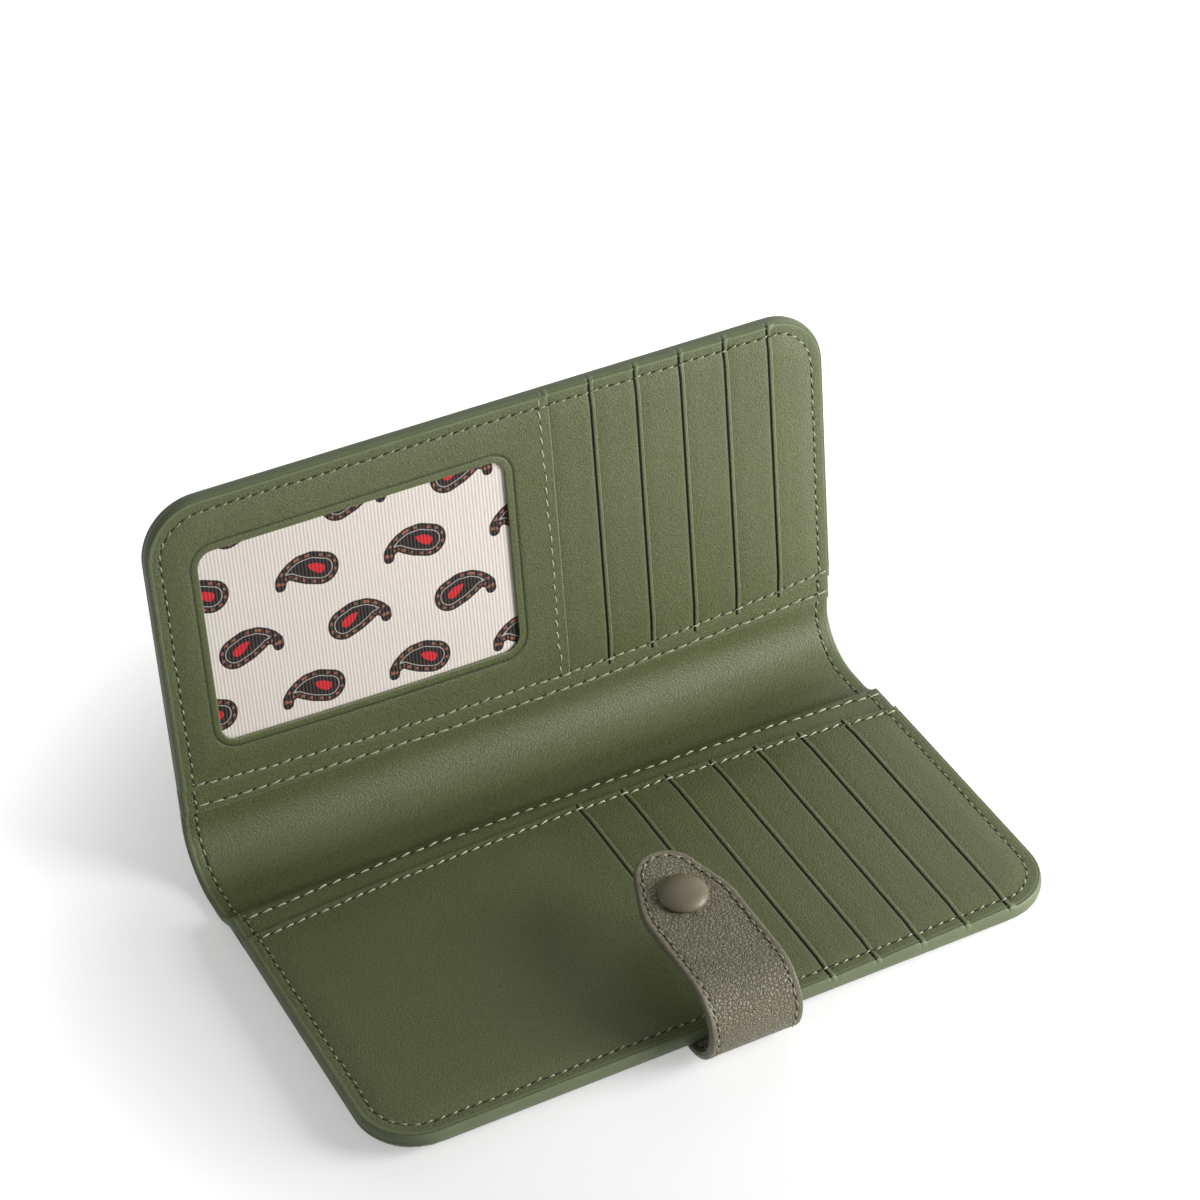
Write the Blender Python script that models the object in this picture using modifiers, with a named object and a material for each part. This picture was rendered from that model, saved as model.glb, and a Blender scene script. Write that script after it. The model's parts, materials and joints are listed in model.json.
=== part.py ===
"""Long bifold wallet in leather, standing open like an L with its snap tab curled in.

Metres, +Z up, +X along the long side. The lower cover lies on the table, the spine curves up
behind it and the upper cover leans back. Each cover is a stack of sheets: outer leather,
stiffening board, lining, a slip pocket for notes, a backing cloth and the shingled card strips.
The seam surface between outer leather and lining passes through every fold axis, and heights
in a cover are measured from it, towards the inside of the wallet.
"""
import math
from dataclasses import dataclass

import bmesh
import bpy
from mathutils import Vector

# Overall form of the open wallet.
WALLET_WIDTH = 0.178
PANEL_LENGTH = 0.083
CORNER_RADIUS = 0.014
OPENING_LEAN = math.radians(82.0)

# Sheet thicknesses and the clearance that stands for glue between sheets.
OUTER_THICKNESS = 0.0010
BOARD_THICKNESS = 0.0004
LINING_THICKNESS = 0.0006
POCKET_THICKNESS = 0.0006
BACKING_THICKNESS = 0.0003
STRIP_THICKNESS = 0.0006
SHEET_GAP = 0.00025
EDGE_ROUNDING = 0.00012

# Spine: a short flat, then one bend up to the upper cover.
LOWER_LEAD = 0.009
UPPER_LEAD = 0.0037
FOLD_FLAT = 0.0018
SPINE_FLAT = 0.004
SPINE_RADIUS = 0.014
NOSE_SETBACK = 0.0005

# Inside pieces.
BOARD_INSET = 0.0045
BOARD_CLEARANCE = 0.0003
CLOTH_INSET = 0.0010
LOWER_INSERT_SETBACK = 0.0089
UPPER_INSERT_SETBACK = 0.0070
SLOT_PITCH = 0.0122
LAST_MOUTH_INSET = 0.0140
STRIP_TUCK = 0.0040
STRIP_EASE = 0.0005
STRIP_RAMP = 0.0065
LOWER_STRIPS = 6
UPPER_STRIPS = 5

# Identity window in the upper cover, given by the width of leather left on each side.
WINDOW_LEFT_MARGIN = 0.0116
WINDOW_RIGHT_MARGIN = 0.0127
WINDOW_TOP_MARGIN = 0.0137
WINDOW_BOTTOM_MARGIN = 0.0113
WINDOW_RADIUS = 0.0040

# Snap tab: root sewn under the lower cover, a round bend and a flat run back over the inside.
# The tab flexes at the foremost point of its bend.
TAB_WIDTH = 0.024
TAB_OUTER_THICKNESS = 0.0009
TAB_LINING_THICKNESS = 0.0007
TAB_BEND_RADIUS = 0.0110
TAB_BEND_INSET = 0.0013
TAB_ROOT_LENGTH = 0.024
TAB_ROOT_RADIUS = 0.003
TAB_STRAIGHT = 0.012
TAB_REACH = 0.0285
TAB_RISE_ANGLE = math.radians(8.0)
TAB_SHOULDER = 0.0145
TAB_TIP_HALF_WIDTH = 0.0062
TAB_TIP_RADIUS = 0.0085
TAB_SHOULDER_RADIUS = 0.010

# Snap fastener.
SNAP_FROM_TIP = 0.0165
CAP_RADIUS = 0.0063
CAP_HEIGHT = 0.0026
CAP_RIM = 0.0005
CAP_ROUND_SHARE = 2.6
SHANK_RADIUS = 0.0013
SHANK_CLEARANCE = 0.0003
SOCKET_RADIUS = 0.0050
SOCKET_HEIGHT = 0.0024
SOCKET_ROOF = 0.0009
SOCKET_WALL_RADIUS = 0.0023
SOCKET_LIP = 0.0003
STUD_FROM_EDGE = 0.026
STUD_RADIUS = 0.0050
STUD_FLANGE = 0.0006
STUD_NECK_RADIUS = 0.0016
STUD_HEAD_RADIUS = 0.0019
STUD_HEIGHT = 0.0030
STUD_BORE_RADIUS = 0.0010
STUD_BORE_DEPTH = 0.0018
RIVET_RADIUS = 0.0007
RIVET_FLANGE_RADIUS = 0.0038
RIVET_FLANGE_THICKNESS = 0.0004
BOARD_HOLE_RADIUS = 0.0043

# Fineness of round stretches and of the merging of doubled points.
CORNER_STEPS = 8
NOSE_STEPS = 6
BEND_STEP_ANGLE = math.radians(6.0)
SHALLOW_STEPS = 6
EASE_STEPS = 8
TURN_STEPS = 32
HOLE_SIDES = 24
CUT_OVERRUN = 0.002
WELD_DISTANCE = 0.000001
FLAT_ANGLE = math.radians(0.05)
SHARP_ANGLE = math.radians(35.0)

# Heights of the sheets over the seam surface.
HALF_GAP = SHEET_GAP / 2
LINING_TOP = HALF_GAP + BOARD_THICKNESS + SHEET_GAP + LINING_THICKNESS
POCKET_BASE = LINING_TOP + SHEET_GAP
BACKING_BASE = POCKET_BASE + POCKET_THICKNESS + SHEET_GAP
STRIP_LOW = BACKING_BASE + BACKING_THICKNESS + SHEET_GAP
STRIP_HIGH = STRIP_LOW + STRIP_THICKNESS + SHEET_GAP

# Places worked out from the sizes above.
HALF_WIDTH = WALLET_WIDTH / 2
TAB_THICKNESS = TAB_OUTER_THICKNESS + SHEET_GAP + TAB_LINING_THICKNESS
LOWER_LIFT = TAB_THICKNESS + SHEET_GAP
SEAM_RADIUS = SPINE_RADIUS + LINING_THICKNESS + HALF_GAP
TAB_SEAM_RADIUS = TAB_BEND_RADIUS - TAB_OUTER_THICKNESS - HALF_GAP
TAB_START = (0.0, 0.0, math.pi / 2)

# Colours as sRGB hex, from the photograph.
OLIVE = 0x66704B
TAUPE = 0x787060
CREAM = 0xE9DDD2
BOARD_GREY = 0x8C8578
CAP_BROWN = 0x6E6658
BRASS = 0x9C8A5E


@dataclass
class Cover:
    """One half of the wallet: its direction from the fold along Y, its lift and its insert's start."""
    name: str
    side: int
    lead: float
    lift: float
    insert_start: float
    parent: object

    def along(self, distance):
        """Local Y of a point at a distance from the slip pocket's mouth towards the free edge."""
        return self.side * (distance + self.lead)


def new_collection(name):
    collection = bpy.data.collections.new(name)
    bpy.context.scene.collection.children.link(collection)
    return collection


def new_empty(name, parent, location, lean=0.0):
    empty = bpy.data.objects.new(name, None)
    empty.location = location
    empty.rotation_euler = (lean, 0.0, 0.0)
    empty.parent = parent
    PARTS.objects.link(empty)
    return empty


def srgb_to_linear(colour):
    channels = [((colour >> shift) & 0xFF) / 0xFF for shift in (16, 8, 0)]
    return [c / 12.92 if c <= 0.04045 else ((c + 0.055) / 1.055) ** 2.4 for c in channels] + [1.0]


def paint(obj, colour, roughness, metallic=0.0):
    material = bpy.data.materials.new(obj.name)
    material.use_nodes = True
    shader = material.node_tree.nodes["Principled BSDF"]
    shader.inputs["Base Color"].default_value = srgb_to_linear(colour)
    shader.inputs["Roughness"].default_value = roughness
    shader.inputs["Metallic"].default_value = metallic
    obj.data.materials.append(material)


def leather(obj, colour):
    """Paint a sheet of leather and take the sharpness off its cut edges."""
    rounding = obj.modifiers.new("rounded_edges", "BEVEL")
    rounding.width = EDGE_ROUNDING
    rounding.segments = 1
    rounding.limit_method = "ANGLE"
    rounding.angle_limit = SHARP_ANGLE
    paint(obj, colour, 0.55)


def arc(centre, radius, start, end, steps):
    """Points on a circle, both ends included."""
    points = []
    for i in range(steps + 1):
        angle = start + (end - start) * i / steps
        points.append((centre[0] + radius * math.cos(angle), centre[1] + radius * math.sin(angle)))
    return points


def rounded(corners, radii):
    """Outline of a polygon whose corners are filleted; a radius of 0 leaves a corner sharp."""
    outline = []
    for i, radius in enumerate(radii):
        corner = Vector(corners[i])
        if radius == 0:
            outline.append(tuple(corner))
            continue
        before = (Vector(corners[i - 1]) - corner).normalized()
        after = (Vector(corners[(i + 1) % len(corners)]) - corner).normalized()
        half = before.angle(after) / 2
        centre = corner + (before + after).normalized() * radius / math.sin(half)
        first = corner + before * radius / math.tan(half) - centre
        last = corner + after * radius / math.tan(half) - centre
        start = math.atan2(first.y, first.x)
        sweep = math.atan2(last.y, last.x) - start
        sweep = (sweep + math.pi) % (2 * math.pi) - math.pi
        outline += arc(centre, radius, start, start + sweep, CORNER_STEPS)
    return outline


def prism(name, outline, depth, turn, parent, collection, offset=0.0):
    """Solid of a flat outline, made by extruding a filled curve both ways and welding its caps."""
    curve = bpy.data.curves.new(name, "CURVE")
    curve.dimensions = "2D"
    curve.fill_mode = "BOTH"
    curve.extrude = depth / 2
    spline = curve.splines.new("POLY")
    spline.points.add(len(outline) - 1)
    for point, (across, up) in zip(spline.points, outline):
        point.co = (across, up, 0.0, 1.0)
    spline.use_cyclic_u = True
    drawing = bpy.data.objects.new(name + "_outline", curve)
    collection.objects.link(drawing)
    bpy.context.view_layer.update()
    mesh = bpy.data.meshes.new_from_object(drawing.evaluated_get(bpy.context.evaluated_depsgraph_get()))
    mesh.name = name
    bpy.data.objects.remove(drawing)
    faces = bmesh.new()
    faces.from_mesh(mesh)
    bmesh.ops.remove_doubles(faces, verts=faces.verts, dist=WELD_DISTANCE)
    bmesh.ops.dissolve_limit(faces, angle_limit=FLAT_ANGLE, verts=faces.verts, edges=faces.edges)
    bmesh.ops.recalc_face_normals(faces, faces=faces.faces)
    faces.to_mesh(mesh)
    faces.free()
    obj = bpy.data.objects.new(name, mesh)
    collection.objects.link(obj)
    obj.parent = parent
    obj.rotation_euler = turn
    obj.location = obj.rotation_euler.to_matrix() @ Vector((0.0, 0.0, offset))
    return obj


# Ways to turn a flat drawing: seen from above, from the end of the wallet, and from its front.
FROM_ABOVE = (0.0, 0.0, 0.0)
FROM_END = (math.pi / 2, 0.0, math.pi / 2)
FROM_FRONT = (math.pi / 2, 0.0, 0.0)


def cutter(name, outline, depth, turn, parent, offset=0.0):
    obj = prism(name, outline, depth, turn, parent, CUTTERS, offset)
    obj.hide_render = True
    obj.display_type = "WIRE"
    return obj


def apply_cutter(obj, tool, operation):
    boolean = obj.modifiers.new(operation.lower() + "_" + tool.name, "BOOLEAN")
    boolean.operation = operation
    boolean.object = tool
    boolean.solver = "EXACT"


def round_cutter(name, radius, depth, parent, location, lean=0.0):
    """Cylinder that bores a hole; its axis is the local Z of a frame leaning about X."""
    bore = bmesh.new()
    bmesh.ops.create_cone(bore, cap_ends=True, segments=HOLE_SIDES, radius1=radius, radius2=radius,
                          depth=depth)
    mesh = bpy.data.meshes.new(name)
    bore.to_mesh(mesh)
    bore.free()
    obj = bpy.data.objects.new(name, mesh)
    CUTTERS.objects.link(obj)
    obj.parent = parent
    obj.location = location
    obj.rotation_euler = (lean, 0.0, 0.0)
    obj.hide_render = True
    obj.display_type = "WIRE"
    return obj


def turned(name, profile, closed, parent, location, lean):
    """Round piece from a profile that runs down its outer side, turned about local Z."""
    mesh = bpy.data.meshes.new(name)
    vertices = [(radius, 0.0, height) for radius, height in profile]
    edges = [(i, i + 1) for i in range(len(profile) - 1)]
    if closed:
        edges.append((len(profile) - 1, 0))
    mesh.from_pydata(vertices, edges, [])
    obj = bpy.data.objects.new(name, mesh)
    PARTS.objects.link(obj)
    obj.parent = parent
    obj.location = location
    obj.rotation_euler = (lean, 0.0, 0.0)
    screw = obj.modifiers.new("turned", "SCREW")
    screw.axis = "Z"
    screw.steps = TURN_STEPS
    screw.render_steps = TURN_STEPS
    screw.use_merge_vertices = True
    screw.merge_threshold = WELD_DISTANCE
    screw.use_smooth_shade = True
    return obj


def stations(runs, start=(0.0, 0.0, 0.0)):
    """Points and headings along a path of constant bends, each run a (length, turn) pair."""
    y, z, heading = start
    path = [(y, z, heading)]
    for length, turn in runs:
        steps = max(SHALLOW_STEPS if turn else 1, math.ceil(abs(turn) / BEND_STEP_ANGLE))
        for _ in range(steps):
            half_turn = turn / steps / 2
            chord = length / steps * (math.sin(half_turn) / half_turn if turn else 1.0)
            y += chord * math.cos(heading + half_turn)
            z += chord * math.sin(heading + half_turn)
            heading += 2 * half_turn
            path.append((y, z, heading))
    return path


def beside(station, height):
    """Point at a height over a station of a path, square to its heading."""
    y, z, heading = station
    return (y - height * math.sin(heading), z + height * math.cos(heading))


def nose(station, low, high, forwards):
    """Half-round end of a sheet between two heights, from the low side to the high side."""
    middle = beside(station, (low + high) / 2)
    start = station[2] - math.pi / 2
    sweep = math.pi if forwards else -math.pi
    return arc(middle, (high - low) / 2, start, start + sweep, NOSE_STEPS)


def bent_sheet(name, path, low, high, width, parent, side=1, round_start=True, round_end=False):
    """Sheet that follows a path, each end half-round or square."""
    lower = [beside(station, low) for station in path[1:-1]]
    upper = [beside(station, high) for station in reversed(path[1:-1])]
    start = [beside(path[0], high), beside(path[0], low)]
    end = [beside(path[-1], low), beside(path[-1], high)]
    if round_start:
        start = list(reversed(nose(path[0], low, high, False)))
    if round_end:
        end = nose(path[-1], low, high, True)
    outline = [(side * y, z) for y, z in start + lower + end + upper]
    return prism(name, outline, width, FROM_END, parent, PARTS)


def backed_up(path, setback):
    """The same path with its first station moved back along its heading by a setback."""
    y, z, heading = path[0]
    start = (y - setback * math.cos(heading), z - setback * math.sin(heading), heading)
    return [start] + path[1:]


def run_on(path, overrun):
    """The same path with its last station moved on along its heading."""
    y, z, heading = path[-1]
    end = (y + overrun * math.cos(heading), z + overrun * math.sin(heading), heading)
    return path[:-1] + [end]


def fold_clearance(thickness):
    """Distance from a fold axis at which a sheet can end without touching the turning nose."""
    half = thickness / 2
    return math.hypot(NOSE_SETBACK, HALF_GAP + half) + half + SHEET_GAP


def ease(share):
    """Smooth step from 0 to 1."""
    return (1 - math.cos(math.pi * share)) / 2


def cover_section(cover, low, fold_high, panel_high):
    """End view of a sheet that runs from the fold to the free edge and changes height on the way."""
    fold_end = fold_clearance(OUTER_THICKNESS) - cover.lead
    ease_start = FOLD_FLAT - cover.lead
    lower = [(fold_end, low)]
    upper = [(fold_end, fold_high)]
    for i in range(EASE_STEPS + 1):
        share = i / EASE_STEPS
        distance = ease_start * (1 - share)
        climb = cover.lift * ease(share)
        lower.append((distance, low + climb))
        upper.append((distance, fold_high + (panel_high - fold_high) * ease(share) + climb))
    lower.append((PANEL_LENGTH, low + cover.lift))
    upper.append((PANEL_LENGTH, panel_high + cover.lift))
    return [(cover.along(distance), height) for distance, height in lower + list(reversed(upper))]


def plan_outline(cover, left, right, start, inset=0.0):
    """Plan of a sheet that reaches the free edge, with the free edge's corners rounded."""
    near = cover.along(start)
    far = cover.along(PANEL_LENGTH - inset)
    corners = [(left, near), (right, near), (right, far), (left, far)]
    return rounded(corners, [0.0, 0.0, CORNER_RADIUS - inset, CORNER_RADIUS - inset])


def cover_plan_cutter(cover):
    """Tall prism with the cover's plan, which rounds the corners of the sheets that need it."""
    outline = plan_outline(cover, -HALF_WIDTH, HALF_WIDTH, -2 * cover.lead)
    depth = 2 * (STRIP_HIGH + STRIP_THICKNESS + cover.lift + CUT_OVERRUN)
    return cutter(cover.name + "_plan", outline, depth, FROM_ABOVE, cover.parent)


def make_outer_leather(cover, plan):
    section = cover_section(cover, -HALF_GAP - OUTER_THICKNESS, -HALF_GAP, -HALF_GAP)
    width = WALLET_WIDTH + CUT_OVERRUN
    obj = prism(cover.name + "_outer_leather", section, width, FROM_END, cover.parent, PARTS)
    apply_cutter(obj, plan, "INTERSECT")
    return obj


def board_outline(cover, inset):
    return rounded([(-HALF_WIDTH + inset, cover.along(inset)), (HALF_WIDTH - inset, cover.along(inset)),
                    (HALF_WIDTH - inset, cover.along(PANEL_LENGTH - inset)),
                    (-HALF_WIDTH + inset, cover.along(PANEL_LENGTH - inset))],
                   [0.0, 0.0, CORNER_RADIUS - inset, CORNER_RADIUS - inset])


def make_board(cover):
    """Stiffening board, let into the underside of the lining."""
    obj = prism(cover.name + "_stiffening_board", board_outline(cover, BOARD_INSET), BOARD_THICKNESS,
                FROM_ABOVE, cover.parent, PARTS, cover.lift + HALF_GAP + BOARD_THICKNESS / 2)
    paint(obj, BOARD_GREY, 0.8)
    return obj


def make_lining(cover, plan):
    """Lining leather, thin at the fold and thick enough over the panel to house the board."""
    section = cover_section(cover, HALF_GAP, HALF_GAP + LINING_THICKNESS, LINING_TOP)
    width = WALLET_WIDTH + CUT_OVERRUN
    obj = prism(cover.name + "_lining", section, width, FROM_END, cover.parent, PARTS)
    apply_cutter(obj, plan, "INTERSECT")
    roof = HALF_GAP + BOARD_THICKNESS + SHEET_GAP
    recess_outline = board_outline(cover, BOARD_INSET - BOARD_CLEARANCE)
    recess = cutter(cover.name + "_board_recess", recess_outline, 2 * roof, FROM_ABOVE, cover.parent,
                    cover.lift)
    apply_cutter(obj, recess, "DIFFERENCE")
    leather(obj, OLIVE)


def make_slip_pocket(cover):
    """Note pocket: a full-width sheet whose finished mouth faces the spine."""
    outline = plan_outline(cover, -HALF_WIDTH, HALF_WIDTH, 0.0)
    obj = prism(cover.name + "_slip_pocket", outline, POCKET_THICKNESS, FROM_ABOVE, cover.parent, PARTS,
                cover.lift + POCKET_BASE + POCKET_THICKNESS / 2)
    leather(obj, OLIVE)


def make_backing_cloth(cover):
    """Lining cloth behind the card strips, which also shows through the window."""
    outline = plan_outline(cover, -HALF_WIDTH + CLOTH_INSET, HALF_WIDTH - CLOTH_INSET,
                           cover.insert_start + CLOTH_INSET, inset=CLOTH_INSET)
    obj = prism(cover.name + "_backing_cloth", outline, BACKING_THICKNESS, FROM_ABOVE, cover.parent, PARTS,
                cover.lift + BACKING_BASE + BACKING_THICKNESS / 2)
    paint(obj, CREAM, 0.9)


def mouth_x(index):
    """Free edge of a card strip, counted from the right-hand mouth, which is 0."""
    return HALF_WIDTH - LAST_MOUTH_INSET - index * SLOT_PITCH


def strip_section(left, right, climbs):
    """Front view of a card strip: low where the next one covers it, high over its neighbour's tuck."""
    lower = [(left, STRIP_LOW)]
    if climbs:
        ramp_end = right - STRIP_TUCK - STRIP_EASE
        for i in range(EASE_STEPS + 1):
            share = i / EASE_STEPS
            climb = (STRIP_HIGH - STRIP_LOW) * ease(share)
            lower.append((ramp_end - STRIP_RAMP * (1 - share), STRIP_LOW + climb))
        lower.append((right, STRIP_HIGH))
    else:
        lower.append((right, STRIP_LOW))
    upper = [(across, height + STRIP_THICKNESS) for across, height in reversed(lower)]
    return lower + upper


def make_strip(cover, name, left, right, climbs=True, plan=None):
    """Card strip between two places across the wallet; its free right-hand edge is a card mouth."""
    outline = [(across, height + cover.lift) for across, height in strip_section(left, right, climbs)]
    length = PANEL_LENGTH - cover.insert_start
    middle = cover.along(cover.insert_start + length / 2)
    obj = prism(name, outline, length, FROM_FRONT, cover.parent, PARTS, -middle)
    if plan:
        apply_cutter(obj, plan, "INTERSECT")
    return obj


def cut_window(panel, cover, panel_right):
    """Identity window through the first panel of a card insert."""
    left = -HALF_WIDTH + WINDOW_LEFT_MARGIN
    right = panel_right - WINDOW_RIGHT_MARGIN
    near = cover.along(cover.insert_start + WINDOW_BOTTOM_MARGIN)
    far = cover.along(PANEL_LENGTH - WINDOW_TOP_MARGIN)
    outline = rounded([(left, near), (right, near), (right, far), (left, far)], [WINDOW_RADIUS] * 4)
    depth = 2 * (STRIP_HIGH + STRIP_THICKNESS + cover.lift + CUT_OVERRUN)
    hole = cutter("window_opening", outline, depth, FROM_ABOVE, cover.parent)
    apply_cutter(panel, hole, "DIFFERENCE")


def make_card_insert(cover, first_name, strips, has_window, plan):
    """Card insert: a wide first panel, a row of strips, and the base at the right."""
    first = make_strip(cover, first_name, -HALF_WIDTH, mouth_x(strips), True, plan)
    if has_window:
        cut_window(first, cover, mouth_x(strips))
    sheets = [first]
    for number in range(1, strips + 1):
        name = f"{cover.name}_card_strip_{number}"
        left = mouth_x(strips - number + 1) - STRIP_TUCK
        sheets.append(make_strip(cover, name, left, mouth_x(strips - number)))
    base_name = cover.name + "_card_base"
    sheets.append(make_strip(cover, base_name, mouth_x(0) - STRIP_TUCK, HALF_WIDTH, False, plan))
    for sheet in sheets:
        leather(sheet, OLIVE)


def spine_runs():
    return [(SPINE_FLAT, 0.0), (SEAM_RADIUS * OPENING_LEAN, OPENING_LEAN)]


def make_spine(parent):
    path = run_on(backed_up(stations(spine_runs()), NOSE_SETBACK), NOSE_SETBACK)
    outer = bent_sheet("spine_outer_leather", path, -HALF_GAP - OUTER_THICKNESS, -HALF_GAP, WALLET_WIDTH,
                       parent, round_end=True)
    leather(outer, TAUPE)
    lining = bent_sheet("spine_lining", path, HALF_GAP, HALF_GAP + LINING_THICKNESS, WALLET_WIDTH, parent,
                        round_end=True)
    leather(lining, OLIVE)


def tab_runs():
    """Moving stretch of the tab, from the foremost point of the bend to the tip."""
    return [(TAB_SEAM_RADIUS * math.pi / 2, math.pi / 2), (TAB_STRAIGHT, 0.0), (TAB_REACH, -TAB_RISE_ANGLE)]


def tab_tip_outline():
    """Plan of the tab from its bend to its tapered, rounded tip, in the tab's own frame."""
    tip = -stations(tab_runs(), TAB_START)[-1][0]
    back = -TAB_BEND_RADIUS
    half = TAB_WIDTH / 2
    shoulder = tip - TAB_SHOULDER
    corners = [(-half, back), (half, back), (half, shoulder), (TAB_TIP_HALF_WIDTH, tip),
               (-TAB_TIP_HALF_WIDTH, tip), (-half, shoulder)]
    radii = [0.0, 0.0, TAB_SHOULDER_RADIUS, TAB_TIP_RADIUS, TAB_TIP_RADIUS, TAB_SHOULDER_RADIUS]
    return rounded(corners, radii)


def tab_station(from_tip):
    """Station on the tab's last run at a distance from its tip."""
    *first, (length, turn) = tab_runs()
    share = (length - from_tip) / length
    return stations(first + [(length * share, turn * share)], TAB_START)[-1]


def snap_place(station, height):
    """Location and lean, in the tab's frame, of a turned piece that stands on the tab."""
    y, z = beside(station, height)
    return (0.0, -y, z), math.pi - station[2]


def make_tab(parent):
    path = backed_up(stations(tab_runs(), TAB_START), NOSE_SETBACK)
    tip = cutter("tab_tip_plan", tab_tip_outline(), 4 * TAB_BEND_RADIUS, FROM_ABOVE, parent)
    snap = tab_station(SNAP_FROM_TIP)
    location, lean = snap_place(snap, 0.0)
    hole_depth = 2 * TAB_THICKNESS + CUT_OVERRUN
    hole = round_cutter("snap_hole", SHANK_RADIUS + SHANK_CLEARANCE, hole_depth, parent, location, lean)
    sheets = [("tab_outer_leather", -HALF_GAP - TAB_OUTER_THICKNESS, -HALF_GAP),
              ("tab_lining", HALF_GAP, HALF_GAP + TAB_LINING_THICKNESS)]
    for name, low, high in sheets:
        obj = bent_sheet(name, path, low, high, TAB_WIDTH, parent, side=-1)
        apply_cutter(obj, tip, "INTERSECT")
        apply_cutter(obj, hole, "DIFFERENCE")
        leather(obj, TAUPE)


def make_tab_root(parent):
    """Fixed end of the tab: half of its bend, and the sewn stretch flat under the lower cover."""
    fold_end = fold_clearance(TAB_OUTER_THICKNESS)
    fold_turn = fold_end / TAB_SEAM_RADIUS
    start = stations([(fold_end, -fold_turn)], (0.0, 0.0, -TAB_START[2]))[-1]
    rest_of_bend = math.pi / 2 - fold_turn
    path = stations([(TAB_SEAM_RADIUS * rest_of_bend, -rest_of_bend), (TAB_ROOT_LENGTH, 0.0)], start)
    far = -path[-1][0]
    half = TAB_WIDTH / 2
    corners = [(-half, -TAB_BEND_RADIUS), (half, -TAB_BEND_RADIUS), (half, far), (-half, far)]
    plan = cutter("tab_root_plan", rounded(corners, [0.0, 0.0, TAB_ROOT_RADIUS, TAB_ROOT_RADIUS]),
                  4 * TAB_BEND_RADIUS, FROM_ABOVE, parent)
    sheets = [("tab_root_leather", HALF_GAP, HALF_GAP + TAB_OUTER_THICKNESS),
              ("tab_root_lining", -HALF_GAP - TAB_LINING_THICKNESS, -HALF_GAP)]
    for name, low, high in sheets:
        obj = bent_sheet(name, path, low, high, TAB_WIDTH, parent, side=-1, round_start=False)
        apply_cutter(obj, plan, "INTERSECT")
        leather(obj, TAUPE)


def dome(radius, height, rim):
    """Profile of a low cap, from its crown down to the foot of its rim."""
    points = []
    for i in range(CORNER_STEPS + 1):
        angle = math.pi / 2 * (1 - i / CORNER_STEPS)
        across = radius * math.cos(angle) ** (2 / CAP_ROUND_SHARE)
        up = rim + (height - rim) * math.sin(angle) ** (2 / CAP_ROUND_SHARE)
        points.append((across if i else 0.0, up))
    return points + [(radius, 0.0)]


def make_snap(parent):
    """Cap on top of the tab and socket under it, joined by the cap's shank."""
    station = tab_station(SNAP_FROM_TIP)
    cap_foot = -HALF_GAP - TAB_OUTER_THICKNESS - SHEET_GAP
    socket_top = HALF_GAP + TAB_LINING_THICKNESS + SHEET_GAP
    shank_length = socket_top - cap_foot + SOCKET_ROOF / 2
    location, lean = snap_place(station, cap_foot)
    profile = dome(CAP_RADIUS, CAP_HEIGHT, CAP_RIM)
    profile += [(SHANK_RADIUS, 0.0), (SHANK_RADIUS, -shank_length), (0.0, -shank_length)]
    cap = turned("snap_cap", profile, False, parent, location, lean)
    paint(cap, CAP_BROWN, 0.35)
    location, lean = snap_place(station, socket_top)
    bore = SHANK_RADIUS + SHANK_CLEARANCE
    rim_width = (SOCKET_RADIUS - SOCKET_WALL_RADIUS) / 2
    profile = [(bore, 0.0), (SOCKET_RADIUS - SOCKET_ROOF, 0.0), (SOCKET_RADIUS, -SOCKET_ROOF / 2),
               (SOCKET_RADIUS, -SOCKET_ROOF), (SOCKET_RADIUS - rim_width, -SOCKET_ROOF - SOCKET_LIP),
               (SOCKET_WALL_RADIUS + SOCKET_LIP, -SOCKET_HEIGHT),
               (SOCKET_WALL_RADIUS - SOCKET_LIP, -SOCKET_HEIGHT),
               (SOCKET_WALL_RADIUS, -SOCKET_HEIGHT + 2 * SOCKET_LIP), (SOCKET_WALL_RADIUS, -SOCKET_ROOF),
               (bore, -SOCKET_ROOF)]
    socket = turned("snap_socket", profile, True, parent, location, lean)
    paint(socket, BRASS, 0.3, 1.0)


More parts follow.
